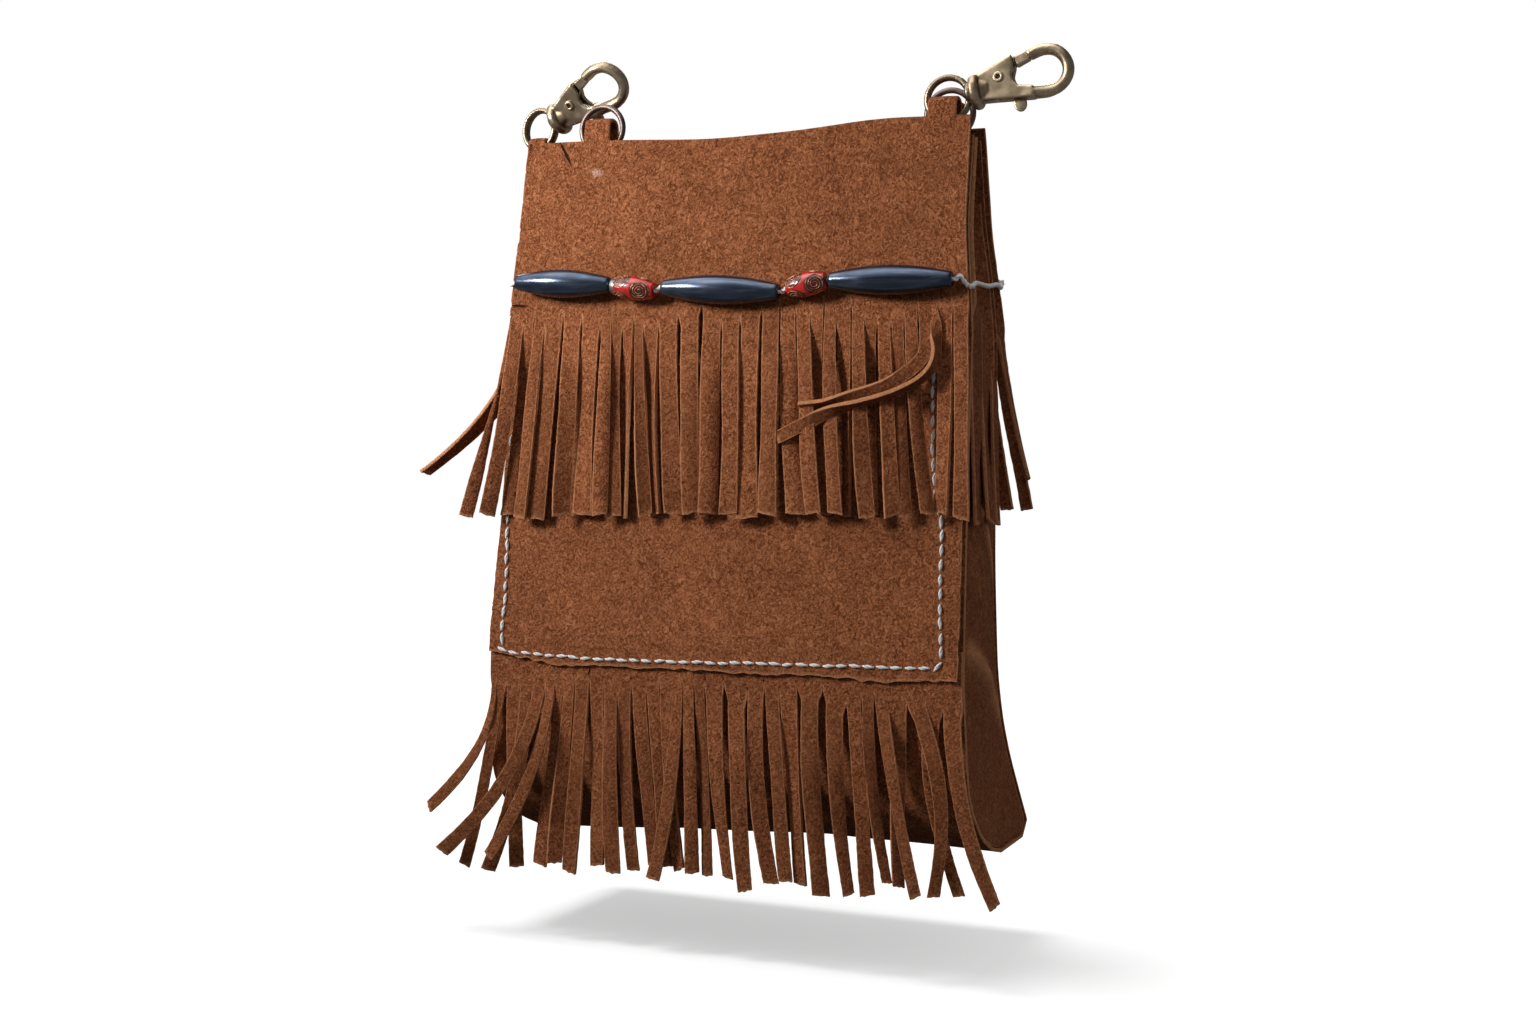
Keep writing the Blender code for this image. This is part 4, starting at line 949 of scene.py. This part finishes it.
def make_front_flap():
    half = half_width(ROOT)
    plane = front_y(ROOT) - FLAP_OUT
    y_tip = front_y(UPPER_TIP) - FLAP_OUT + SUEDE / 2 - 0.4
    spots = [-half, *(photo_place(px, UPPER_SLIT_PY, plane, ROOT) for px in UPPER_SLITS_PX), half]
    tops = [ROOT + uniform(-2.5, 5.5) for _ in UPPER_SLITS_PX]
    strands = []
    for i, (left, right) in enumerate(UPPER_TIPS_PX):
        lift = 0.3 if i in UPPER_BEHIND else 2.0 + 1.7 * (i % 2) + uniform(0, 0.9)
        tip = photo_point(0.5 * (left + right), UPPER_TIP_PY + uniform(-3.0, 3.5), y_tip)
        wide = photo_point(right, UPPER_TIP_PY, y_tip).x - photo_point(left, UPPER_TIP_PY, y_tip).x
        strands.append(Strand(
            flap_surface(0.5 * (spots[i] + spots[i + 1]), ROOT), tip,
            (min(spots[i + 1] - spots[i] - SLIT_GAP, WIDEST_UPPER_ROOT), wide + 0.4),
            drift=TO_CAMERA,
            curve=uniform(1.35, 1.75),
            lift=lift,
            turn_deg=UPPER_TURNED_DEG.get(i, uniform(-30, 16)),
            bow=uniform(-0.5, 0.5),
            cup=uniform(-0.25, 0.6),
        ))
    for i, strand in LOOSE_STRANDS.items():
        strands[i] = LooseStrand(*strand)
    obj = fringe("front_flap_sheet", UPPER_REACH, (56, 60), spots, tops, flap_surface, strands, FRONTWARD,
                 SUEDE_FLAP)
    finish_sheet(obj, "front_fringe", 2 * half)


def make_back_flap():
    count = 32
    half = half_width(ROOT)
    pitch = 2 * half / count
    spots = [-half, *(-half + pitch * (k + 1) + uniform(-0.5, 0.5) for k in range(count - 1)), half]
    tops = [ROOT + uniform(-4.0, 5.0) for _ in range(count - 1)]

    def surface(x, z):
        fade = smooth_step((-z - 2) / 14.0)
        y = along(BACK_FLAP_Y, z) - SUEDE / 2 - 0.07 + 0.5 * fade * (0.4 + ripple((x, 9, z), 34.0, 3.0))
        pinch = 2.4 * exp(-((z + 43.5) / 2.2) ** 2) * smooth_step((x / half_width(z) - 0.93) / 0.07)
        return waved(Vector((x - pinch, y, z)), 0.6 * top_wave(x))

    strands = []
    for i in range(count):
        root_x = 0.5 * (spots[i] + spots[i + 1])
        tip = surface(root_x * 1.05 + uniform(-0.8, 0.8), UPPER_TIP + uniform(-1.5, 1.0))
        if i in BACK_TIPS:
            tip = photo_point(*BACK_TIPS[i])
        strands.append(Strand(
            surface(root_x, ROOT), tip,
            (spots[i + 1] - spots[i] - SLIT_GAP, uniform(3.7, 4.4)),
            lift=0.2 + 1.5 * (i % 2) + uniform(0, 0.6),
            turn_deg=uniform(-14, 14),
        ))
    obj = fringe("back_flap_sheet", UPPER_REACH, (40, 44), spots, tops, surface, strands, BACKWARD,
                 SUEDE_FRONT, flip=True)
    finish_sheet(obj, "back_fringe", 2 * half)


def make_side_flap(name, side, top):
    """The fringed strip on a gusset: its back edge runs along the inside of the back flap."""
    count = 5
    sideward = Vector((side, 0, 0))
    spots = [k / count for k in range(count + 1)]
    tops = [ROOT + uniform(-3.0, 4.0) for _ in range(count - 1)]
    header = ROOT + 6.0

    def surface(share, level):
        z = level - 4.0 * share * share * smooth_step((level - header) / (top - header))
        p = gusset_point(side, z, share, GAP + SUEDE / 2, 0.9)
        p.y = mix(p.y, along(BACK_FLAP_Y, z) - SIDE_FLAP_BEHIND, share * smooth_step((z - UPPER_TIP) / 40.0))
        return leaned(p)

    strands = []
    for i in range(count):
        middle = (i + 0.5) / count
        pitch = (surface(spots[i + 1], ROOT) - surface(spots[i], ROOT)).length
        tip = surface(middle, UPPER_TIP + uniform(-1.5, 1.0)) + sideward
        stray = side < 0 and i == 0
        if stray:
            tip = photo_point(*STRAY_TIP)
        if side > 0 and i == count - 1:
            tip = photo_point(*RIGHT_SIDE_TIP)
        strands.append(Strand(
            surface(middle, ROOT), tip,
            (pitch - SLIT_GAP, uniform(3.8, 4.4)),
            curve=2.2 if stray else 1.4,
            lift=0.4 + 1.5 * (i % 2),
            turn_deg=uniform(-15, 15),
        ))
    reach = (top, header, ROOT, UPPER_TIP)
    obj = fringe(f"{name}_sheet", reach, (20, 44), spots, tops, surface, strands, sideward, SUEDE_IN_SHADE,
                 flip=side < 0, widens=False)
    finish_sheet(obj, name, (surface(1, ROOT) - surface(0, ROOT)).length)


# Pocket patch, its stitches and the fringe below it
PATCH_ROWS = 84
PATCH_COLUMNS = 170
STITCH_PITCH = 4.3
STITCH_RADIUS = 0.45
STITCH_STEPS = 12
SEAM_MIDDLE_Z = -140.0


def patch_surface(x, z):
    y = front_y(z) - along(PATCH_STANDS_OUT, z) + SUEDE / 2
    return Vector((x, y - 0.35 * (0.45 + ripple((x, 4, z), 30.0, 6.0)), z))


def make_patch():
    def point_at(level, share):
        x = share * (half_width(level) - mix(0.3, 1.0, 0.5 + 0.5 * share))
        ragged = 0.7 * ripple((x, level, 0), 2.6, 8.0) + 0.9 * ripple((x, 0, 0), 22.0, 4.0)
        fall = max(0.0, (LOWER_HEADER_TOP - level) / (LOWER_HEADER_TOP - POCKET_BOTTOM))
        x += 0.35 * ripple((0, level, 3.0), 2.6, 9.0) * (abs(share) > 0.999)
        p = leaned(patch_surface(x, level + (ragged + along(PATCH_EDGE_RISE, share)) * fall))
        p.y -= 0.9 * smooth_step((share - 0.93) / 0.07) * smooth_step((POCKET_BOTTOM + 8.0 - level) / 8.0)
        return p

    rows = spaced(POCKET_TOP, POCKET_BOTTOM, PATCH_ROWS)
    sheet = grid_sheet("pocket_patch_sheet", rows, seamward(PATCH_COLUMNS), point_at, SUEDE_FRONT,
                       lambda z, c: z in (rows[0], rows[-1]) or abs(c) > 0.999)
    finish_sheet(sheet, "pocket_patch", 2 * half_width(POCKET_BOTTOM))


def walk(line, step):
    """Places at even steps along a line, each with the direction there."""
    found = []
    left = 0.0
    for a, b in zip(line, line[1:]):
        length = (b - a).length
        while left < length:
            found.append((a.lerp(b, left / length), (b - a).normalized()))
            left += step
        left -= length
    return found


def stitch_radius(share):
    return 0.12 + 0.75 * STITCH_RADIUS * sin(pi * min(0.98, max(0.02, share))) ** 0.6


def stitch_plies(middle, direction, length):
    """A grain of thread: two twisted plies, thick in the middle, whose ends dip into the suede."""
    across = Vector((-direction.y, direction.x, 0))
    for ply in (0.0, pi):
        path = []
        for t in spaced(-1.0, 1.0, STITCH_STEPS):
            angle = ply + 2.6 * t
            plump = sqrt(max(0.0, 1 - t ** 4))
            wound = 0.30 * STITCH_RADIUS * plump
            flat = middle + direction * (0.5 * length * t) + across * (wound * cos(angle))
            out = 0.42 * plump + wound * sin(angle) - 0.35 * t * t
            surface = patch_surface(flat.x - lean(flat.x, flat.y), flat.y)
            path.append((flat.x, surface.y - SUEDE / 2 - out, surface.z))
        yield tube_mesh(path, stitch_radius, 8)


def make_stitches():
    """The sewn line is walked as flat points of X and Z."""
    seam = [photo_point(px, py, front_y(SEAM_MIDDLE_Z) - 2 * LAYER) for px, py in STITCHES_PX]
    plies = []
    for middle, direction in walk(smooth_path([(p.x, p.z, 0) for p in seam], 6), STITCH_PITCH):
        slope = Matrix.Rotation(radians(uniform(-9, 5)), 3, "Z")
        shift = Vector((uniform(-0.2, 0.2), uniform(-0.22, 0.22), 0))
        plies += stitch_plies(middle + shift, slope @ direction, STITCH_PITCH * uniform(0.80, 0.98))
    obj = add_mesh("pocket_stitches", joined(plies), THREAD)
    finish_piece(obj, "pouch", "white_thread", "pocket_thread")


def make_lower_fringe():
    roots = [row[0] for row in LOWER_STRANDS_PX]
    plane = front_y(LOWER_ROOT) - LAYER
    half = half_width(LOWER_ROOT)
    slits = [photo_place(0.5 * (a + b), LOWER_ROOT_PY, plane, LOWER_ROOT) for a, b in zip(roots, roots[1:])]
    spots = [-half, *slits, half]
    tops = [LOWER_ROOT + uniform(-3.0, 1.8) for _ in slits]

    def surface(x, z):
        y = min(front_y(z), front_y(LOWER_ROOT)) - LAYER + SUEDE / 2
        y -= 0.3 * (0.4 + ripple((x, 2, z), 26.0, 11.0)) * smooth_step((-z - 160) / 8.0)
        return leaned(Vector((x, y, z)))

    strands = []
    for i, (_, left, right, py, layer) in enumerate(LOWER_STRANDS_PX):
        lift = 0.8 + 1.7 * layer + uniform(0.0, 0.8)
        y_tip = plane + SUEDE / 2 - lift
        wide = (photo_point(right, py, y_tip) - photo_point(left, py, y_tip)).length
        narrowest, widest = LOWER_TIP_WIDTHS
        strands.append(Strand(
            surface(0.5 * (spots[i] + spots[i + 1]), LOWER_ROOT),
            photo_point(0.5 * (left + right), py, plane + SUEDE / 2),
            (min(WIDEST_LOWER_ROOT, spots[i + 1] - spots[i] - SLIT_GAP), min(widest, max(narrowest, wide))),
            curve=LOWER_CURVE.get(i, uniform(1.35, 1.9)),
            lift=lift,
            turn_deg=uniform(-32, 22),
            bow=0.33 * LOWER_BOW_PX.get(i, uniform(-2.5, 2.5)),
            cup=uniform(-0.2, 0.5),
            drift=TO_CAMERA,
        ))
    reach = (LOWER_HEADER_TOP, LOWER_ROOT + 3.0, LOWER_ROOT, LOWER_TIP)
    obj = fringe("lower_fringe_sheet", reach, (12, 56), spots, tops, surface, strands, FRONTWARD, SUEDE_FRONT)
    finish_sheet(obj, "lower_fringe", 2 * half)


# Loops along the top edge: where each stands, its panel, its width, its rise and how far its top leans
TAB_HOLLOW_DEPTH = 5.0
TAB_LEG_DROP = 16.0
FRONT_RING_Y = FRONT_TOP_Y + SUEDE / 2
BACK_RING_Y = BACK_TOP_Y - SUEDE / 2
TABS = {
    "front_left": (-48.0, FRONT_RING_Y, front_y, 8.8, 7.7, 0.0),
    "front_right": (66.5, FRONT_RING_Y, front_y, 8.8, 7.7, 0.0),
    "back_left": (-69.8, BACK_RING_Y, back_y, 5.5, 4.6, -4.8),
    "back_right": (65.5, BACK_RING_Y, back_y, 8.8, 7.7, 0.0),
}


def tab_path(middle_y, panel_y, rise):
    wide = TAB_HOLLOW_DEPTH / 2 + SUEDE / 2
    top = rise - SUEDE / 2
    leg = [
        (LAYER + 0.25, -TAB_LEG_DROP), (LAYER + 0.2, PANEL_TOP - 3.6),
        (LAYER + 0.5 * (wide - LAYER), PANEL_TOP + 0.5), (wide, PANEL_TOP + 4.2),
        (1.02 * wide, 0.55 * top), (0.78 * wide, 0.90 * top),
    ]

    def placed(y, z):
        return middle_y + panel_y(min(z, PANEL_TOP)) - panel_y(PANEL_TOP) + y, z

    front = [placed(-y, z) for y, z in leg]
    back = [placed(y, z) for y, z in reversed(leg)]
    return smooth_path([*front, (middle_y, top), *back], 6)


def make_tab(place):
    x, middle_y, panel_y, width, rise, slant = TABS[place]
    path = tab_path(middle_y, panel_y, rise)

    def point_at(index, u):
        p = path[index]
        shift = slant * min(1.0, max(0.0, (p.y - PANEL_TOP) / (rise - 1.5 - PANEL_TOP)))
        curl = 0.18 * (4 * u * u - 0.3) * smooth_step((p.y + 2.0) / 6.0)
        return Vector((x + shift + u * width, p.x, p.y - curl))

    columns = (-0.5, -0.46, -0.3, -0.1, 0.1, 0.3, 0.46, 0.5)
    sheet = grid_sheet(f"{place}_tab_strip", range(len(path)), columns, point_at, SUEDE_FRONT,
                       lambda r, u: abs(u) > 0.49)
    finish_piece(sheet, "pouch", "suede", f"{place}_tab")


# Metal pieces
# Each clip: its eye's middle, how far it rises, how far it is turned about the vertical and on its swivel
CLIPS = {
    "right": (Vector((TOP_HALF_WIDTH - 5.6, FRONT_RING_Y, 6.9)), 11.0, 0.0, 0.0),
    "left": (Vector((-2.0 - TOP_HALF_WIDTH, BACK_RING_Y, 7.5)), 20.0, -14.0, 33.0),
}
CLIP_PIVOT = Vector((7.63, 1.91, 0.0))
EYE_TO_FLANGE = 8.55 + GAP
ARM_CENTRELINE = ((13.5, -4.0, 0.0), (17.0, -4.62, 0.0), (20.5, -5.22, 0.0), (22.4, -5.2, 0.0))
ARM_RADIUS = 1.62
ARM_HALF_DEPTH = ((13.5, 2.45), (16.5, 2.5), (22.0, 1.45))
RIVET_HEAD = ((3.42, 0.92), (3.42, 1.28), (3.30, 1.50), (3.05, 1.58), (2.6, 1.58))

# The clips' cast parts: size of the faces, rounds of smoothing, how much fuller the wires get, and the metal
CAST_PARTS = {
    "eye": (0.18, 12, 0.24, SHADED_BRASS),
    "hook": (0.18, 40, 0.30, BRASS),
    "gate": (0.16, 10, 0.12, BRASS),
}
RING_RADIUS = 8.2
RING_WIRE_RADIUS = 0.95


def hook_frame(side):
    """From the hook's own axes, along it, towards its gate and along its pivot, to the bag's."""
    eye, rise_deg, yaw_deg, swivel_deg = CLIPS[side]
    rise = radians(rise_deg)
    yaw = radians(yaw_deg)
    out = Vector((cos(rise) * cos(yaw), cos(rise) * sin(yaw), sin(rise)))
    upward = (Vector((0, 0, 1)) - out * out.z).normalized()
    basis = Matrix((out, upward, out.cross(upward))).transposed().to_4x4()
    swivel = Matrix.Rotation(radians(swivel_deg), 4, "X")
    return Matrix.Translation(eye + out * EYE_TO_FLANGE) @ basis @ swivel


def fill_arm(mesh, side):
    """Runs the housing's lower arm into the loop without a step."""
    matrix = hook_frame(side)
    verts, faces = tube_mesh(smooth_path(ARM_CENTRELINE, 6), ARM_RADIUS, 20)
    deep = [Vector((v.x, v.y, v.z * along(ARM_HALF_DEPTH, v.x) / ARM_RADIUS)) for v in verts]
    taper = bpy.data.meshes.new("taper")
    taper.from_pydata([matrix @ v * MM for v in deep], [], faces)
    both = bmesh.new()
    both.from_mesh(mesh)
    both.from_mesh(taper)
    both.to_mesh(mesh)
    both.free()
    bpy.data.meshes.remove(taper)


def use_material(obj, material):
    obj.data.materials.clear()
    obj.data.materials.append(material)


def cast_part(side, part):
    """A finer copy of a clip's solid, with the rounded edges of a casting."""
    voxel, rounds, swell, material = CAST_PARTS[part]
    node = f"{side}_clip_{part}"
    obj = place_object(f"{node}_cast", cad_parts[node].data.copy())
    if part == "hook":
        fill_arm(obj.data, side)
    add_modifier(obj, "even faces", "REMESH", mode="VOXEL", voxel_size=voxel * MM)
    add_modifier(obj, "rounded edges", "SMOOTH", factor=0.5, iterations=rounds)
    add_modifier(obj, "fuller wires", "DISPLACE", mid_level=0.0, strength=swell * MM)
    apply_modifiers(obj)
    smooth(obj.data)
    use_material(obj, material)
    finish_piece(obj, node, "antique_brass", node)


def make_rivet(side):
    """A tubular rivet, with its rims turned over."""
    matrix = hook_frame(side)
    near = [(-d, r) for d, r in RIVET_HEAD]
    profile = [(-3.35, 0.76), *near, (-2.6, 0.9), (2.6, 0.9), *reversed(RIVET_HEAD)]
    profile += [(3.35, 0.76), (2.9, 0.72), (-2.9, 0.72)]
    axes = matrix.to_3x3()
    mesh = turned_mesh(profile, 32, axes.col[2], axes.col[0], matrix @ CLIP_PIVOT)
    obj = add_mesh(f"{side}_clip_rivet_turned", mesh, SMOOTH_BRASS)
    finish_piece(obj, f"{side}_clip_hook", "antique_brass", f"{side}_clip_rivet")


def make_ring(place):
    """A plain ring that hangs in a loop."""
    name = f"{place}_ring"
    x, y = TABS[place][:2]
    middle = RING_RADIUS - RING_WIRE_RADIUS
    path = [
        (x + 0.2 + middle * cos(a), y, PANEL_TOP + GAP + RING_RADIUS + middle * sin(a))
        for a in spaced(0.0, 2 * pi, 96)[:-1]
    ]
    obj = add_mesh(f"{name}_wire", tube_mesh(path, RING_WIRE_RADIUS, 20, closed=True), NICKEL)
    finish_piece(obj, name, "tinted_nickel", name)


def make_metal():
    for side in CLIPS:
        for part in CAST_PARTS:
            cast_part(side, part)
        make_rivet(side)
        use_material(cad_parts[f"{side}_clip_spring"], STEEL)
    make_ring("front_left")
    make_ring("back_right")


# Beads and their thread
LONG_BEAD_RADII = (4.5, 2.35)
SHORT_BEAD_RADII = (3.75, 2.3)
BEAD_BORE = 0.95
BEAD_Y = front_y(-BEAD_DROP) - FLAP_OUT - GAP - LONG_BEAD_RADII[0]
THREAD_RADIUS = 0.62
THREAD_TURN = 3.4
SCROLL_SIZE = 3.1
SCROLL_STEPS = 18
SCROLL_LENGTH = 3.4 * SCROLL_STEPS


class Bead:
    """A bead: its start along the front, its length, how far down its middle is, its slope and its radii."""

    def __init__(self, name, start, length, drop, slope_deg, radii=LONG_BEAD_RADII):
        slope = radians(slope_deg)
        self.name = name
        self.half = length / 2
        self.axis = Vector((cos(slope), 0.0, -sin(slope)))
        self.centre = Vector((start + self.half * self.axis.x, BEAD_Y, -drop))
        self.middle_radius, self.end_radius = radii
        self.upright = self.axis.cross(BACKWARD)

    def radius(self, share):
        return self.end_radius + (self.middle_radius - self.end_radius) * cos(0.5 * pi * share)

    def turned(self, ending, profile, sides, material, **marks):
        """A piece turned about the bead's axis; marks are functions of its points."""
        verts, faces = turned_mesh(profile, sides, self.axis, BACKWARD, self.centre)
        values = {mark: [value(v) for v in verts] for mark, value in marks.items()}
        obj = add_mesh(f"{self.name}_{ending}", (verts, faces), material, **values)
        face_outward(obj)
        obj.data.set_sharp_from_angle(angle=radians(50))
        return obj

    def dark_field(self, point):
        """1 inside the dark fields round the scrolls, 0 on the plain skin."""
        away = point - self.centre
        turn = atan2(away.dot(self.upright), away.dot(BACKWARD))
        nearest = 99.0
        for around, shift, _ in SCROLLS:
            gap = (turn - around + pi) % (2 * pi) - pi
            nearest = min(nearest, hypot(gap * self.middle_radius, away.dot(self.axis) - shift) - SCROLL_SIZE)
        return 1.0 - smooth_step((nearest - 0.1) / 0.35)

    def scroll(self, around, shift, way):
        """A raised spiral on the skin, wound round a point at that angle and distance along the bead."""
        path = []
        for k in range(int(SCROLL_LENGTH) + 1):
            angle = way * 2 * pi * k / SCROLL_STEPS
            r = SCROLL_SIZE * (1 - 0.86 * k / SCROLL_LENGTH)
            share = max(-0.93, min(0.93, (shift + r * cos(angle)) / self.half))
            skin = self.radius(share)
            turn = around + r * sin(angle) / skin
            out = BACKWARD * cos(turn) + self.upright * sin(turn)
            path.append(self.centre + self.axis * (share * self.half) + out * (skin + 0.02))
        return tube_mesh(path, 0.15, 6)


BEADS = (
    Bead("bead_1", -72.4, 33.4, 46.5, 2.6),
    Bead("bead_2", -38.2, 14.9, 48.5, 7.0, SHORT_BEAD_RADII),
    Bead("bead_3", -20.8, 39.0, 49.7, 3.2),
    Bead("bead_4", 20.8, 13.0, 48.7, -10.3, SHORT_BEAD_RADII),
    Bead("bead_5", 34.4, 38.2, 48.1, 0.9),
)

# Common scroll ornament on the short beads: angle round the bead, distance along it, and way
SCROLLS = [
    spot
    for k in range(3)
    for spot in ((2 * pi * k / 3 + 0.35, -3.6, 1), (2 * pi * k / 3 + 0.35 + 1.0, 3.4, -1))
]


def make_bead(bead):
    half = bead.half
    rim = bead.end_radius - 0.35
    skin = [(share * half, bead.radius(share)) for share in spaced(-1.0, 1.0, 48)[1:-1]]
    corner = half - 0.12
    corner_radius = bead.end_radius - 0.1
    profile = [
        (-half, BEAD_BORE), (-half, rim), (-corner, corner_radius), *skin, (corner, corner_radius),
        (half, rim), (half, BEAD_BORE),
    ]
    if bead.middle_radius == SHORT_BEAD_RADII[0]:
        obj = bead.turned("turned", profile, 64, RED, dark_field=bead.dark_field)
        finish_piece(obj, bead.name, "red_glass", bead.name)
        scrolls = joined(bead.scroll(*spot) for spot in SCROLLS)
        finish_piece(add_mesh(f"{bead.name}_scrolls", scrolls, GILT), bead.name, "red_glass")
    else:
        finish_piece(bead.turned("turned", profile, 64, BLUE), bead.name, "blue_glass", bead.name)


def make_end_ring(bead):
    """A small metal ring on a bead's left end."""
    start = -bead.half
    outer = bead.end_radius + 0.25
    profile = [
        (start - 0.05, BEAD_BORE), (start - 0.05, outer - 0.2), (start + 0.15, outer),
        (start + 1.9, outer + 0.25), (start + 2.1, outer + 0.05), (start + 2.1, BEAD_BORE),
    ]
    finish_piece(bead.turned("end_ring", profile, 48, STEEL), bead.name, "spring_steel")


def twisted(points, radius, turn_length):
    """Two plies wound round each other along a path."""
    plies = []
    for ply in (0.0, pi):
        travelled = 0.0
        line = []
        for before, p, (a, b) in zip(points[:1] + points, points, frames_along(points, False)):
            travelled += (p - before).length
            angle = ply + 2 * pi * travelled / turn_length
            line.append(p + (a * cos(angle) + b * sin(angle)) * radius * 0.62)
        plies.append(tube_mesh(line, radius * 0.66, 8))
    return joined(plies)


def make_bead_thread():
    side = half_width(-BEAD_DROP) + GAP + SUEDE + 0.9
    front = front_y(-BEAD_DROP) - FLAP_OUT - 0.9
    rear = along(BACK_FLAP_Y, 6.0 - BEAD_DROP) + 1.3
    middle = 0.5 * (front + rear)
    behind = rear + 0.5
    low = -BEAD_DROP
    route = [
        (-side, rear - 3.0, low + 6.0), (-side, middle, low + 4.2), (-side, front + 1.8, low + 2.4),
        (-side + 1.2, front - 1.0, low + 2.4),
    ]
    for bead in BEADS:
        reach = bead.axis * (bead.half + 0.25)
        route += [bead.centre + reach * share for share in (-1.0, -0.5, 0.5, 1.0)]
    route += [
        (side - 2.6, front - 2.4, low + 0.6), (side - 1.0, front - 1.0, low - 1.6),
        (side, front + 1.8, low - 2.0), (side, front + 6.5, low - 0.4), (side, middle, low + 0.6),
        (side, rear - 10.0, low + 2.4), (side, rear - 5.0, low + 2.2), (side - 1.0, rear - 1.6, low + 3.4),
        (side - 4.0, rear + 0.4, low + 5.0), (0.5 * side, behind, low + 6.0), (0.0, behind, low + 5.7),
        (-0.5 * side, behind, low + 6.0), (-side + 2.2, rear + 0.4, low + 6.0),
        (-side, rear - 2.6, low + 6.0),
    ]
    obj = add_mesh("bead_thread_twist", twisted(smooth_path(route, 22), THREAD_RADIUS, THREAD_TURN), THREAD)
    finish_piece(obj, "pouch", "white_thread", "bead_thread")


# Stage
KEY_PLACE = Vector((-360.0, -370.0, 97.0))
KEY_AIM = Vector((-60.0, 0.0, 20.0))
KEY_SIZE = 150.0
KEY_WATTS = 0.92
FLOOR_REACH = 8000.0
FLOOR_SEEN = 0.80
FLOOR_UNSEEN = 0.08
FLOOR_GLOW = 0.50
AMBIENT = 0.20


def add_floor():
    """A floor that looks white and throws little light back."""
    look = Look("floor", (1.0, 1.0, 1.0), 1.0)
    rays = look.node("LightPath", {})
    mirrored = look.times(rays["Is Glossy Ray"], 0.15)
    seen = look.greater(look.greater(rays["Is Camera Ray"], mirrored), rays["Is Transmission Ray"])
    look.surface(Base_Color=look.blend(seen, (FLOOR_UNSEEN,) * 3, (FLOOR_SEEN,) * 3), Specular_IOR_Level=0.0)
    look.surface(Emission_Color=(1.0, 1.0, 1.0), Emission_Strength=look.times(seen, FLOOR_GLOW))
    corners = [(x * FLOOR_REACH, y * FLOOR_REACH, 0) for x, y in ((-1, -1), (1, -1), (1, 1), (-1, 1))]
    floor = add_mesh("floor", (corners, [range(4)]), look.material)
    floor.location.z = FLOOR_Z * MM
    return floor


def add_lamp(name, kind, toward, floor, state, **settings):
    """A soft lamp in that direction, which lights the floor alone, or everything but the floor."""
    data = bpy.data.lights.new(name, kind)
    for key, value in settings.items():
        setattr(data, key, value)
    lamp = place_object(name, data)
    lamp.rotation_euler = toward.to_track_quat("Z", "Y").to_euler()
    group = bpy.data.collections.new(f"{name}_lights")
    group.objects.link(floor)
    group.collection_objects[0].light_linking.link_state = state
    lamp.light_linking.receiver_collection = group
    return lamp


def add_sun(name, azimuth_deg, height_deg, floor, state, strength, angle_deg):
    """Azimuth is measured from the front, positive to the viewer's right."""
    azimuth = radians(azimuth_deg)
    height = radians(height_deg)
    toward = Vector((sin(azimuth) * cos(height), -cos(azimuth) * cos(height), sin(height)))
    add_lamp(name, "SUN", toward, floor, state, energy=strength, angle=radians(angle_deg))


def add_lamps(floor):
    key = add_lamp("key", "AREA", KEY_PLACE - KEY_AIM, floor, "EXCLUDE", shape="DISK", size=KEY_SIZE * MM,
                   energy=KEY_WATTS, spread=radians(90.0))
    key.location = KEY_PLACE * MM
    key.visible_camera = False
    add_sun("back", -155.0, 40.0, floor, "EXCLUDE", 1.5, 40.0)
    add_sun("above", -66.0, 77.0, floor, "INCLUDE", 1.7, 22.0)


def add_world():
    """White behind the bag, an even light on it, and a softly graded studio in its metal and glass."""
    world = bpy.data.worlds.new("studio")
    bpy.context.scene.world = world
    nodes = Nodes(world)
    rays = nodes.node("LightPath", {})
    direction = nodes.node("TexCoord", {})["Generated"]

    def glow(toward, sharpness, strength):
        """The studio glows toward one side, and falls off round it."""
        pair = {0: direction, 1: Vector(toward).normalized()}
        facing = nodes.node("VectorMath", pair, operation="DOT_PRODUCT")["Value"]
        return nodes.times(nodes.math("POWER", nodes.greater(facing, 0.0), sharpness), strength)

    def chosen(factor, a, b):
        """a where the factor is 0, b where it is 1."""
        return nodes.plus(nodes.times(a, nodes.math("SUBTRACT", 1.0, factor)), nodes.times(b, factor))

    overhead = glow((-0.36, -0.36, 0.86), 9.0, 5.2)
    left = glow((-0.93, -0.30, 0.22), 14.0, 0.7)
    right = glow((0.80, -0.30, 0.52), 3.0, 0.34)
    mirrored = nodes.plus(nodes.plus(overhead, left), 0.14)
    lit = chosen(rays["Is Glossy Ray"], nodes.plus(right, AMBIENT), mirrored)
    seen = nodes.greater(rays["Is Camera Ray"], rays["Is Transmission Ray"])
    background = nodes.tree.nodes["Background"]
    nodes.put(background.inputs["Color"], (1.0, 1.0, 1.0))
    nodes.put(background.inputs["Strength"], chosen(seen, lit, 1.0))


def main():
    add_camera()
    add_world()
    add_lamps(add_floor())
    bpy.context.scene.view_settings.view_transform = "Standard"

    make_pouch()
    make_gusset("left_gusset", -1)
    make_gusset("right_gusset", 1)
    make_front_flap()
    make_back_flap()
    make_side_flap("left_side_fringe", -1, -16.0)
    make_side_flap("right_side_fringe", 1, -4.5)
    make_patch()
    make_stitches()
    make_lower_fringe()
    for place in TABS:
        make_tab(place)
    make_metal()
    for bead in BEADS:
        make_bead(bead)
    make_end_ring(BEADS[1])
    make_bead_thread()


main()
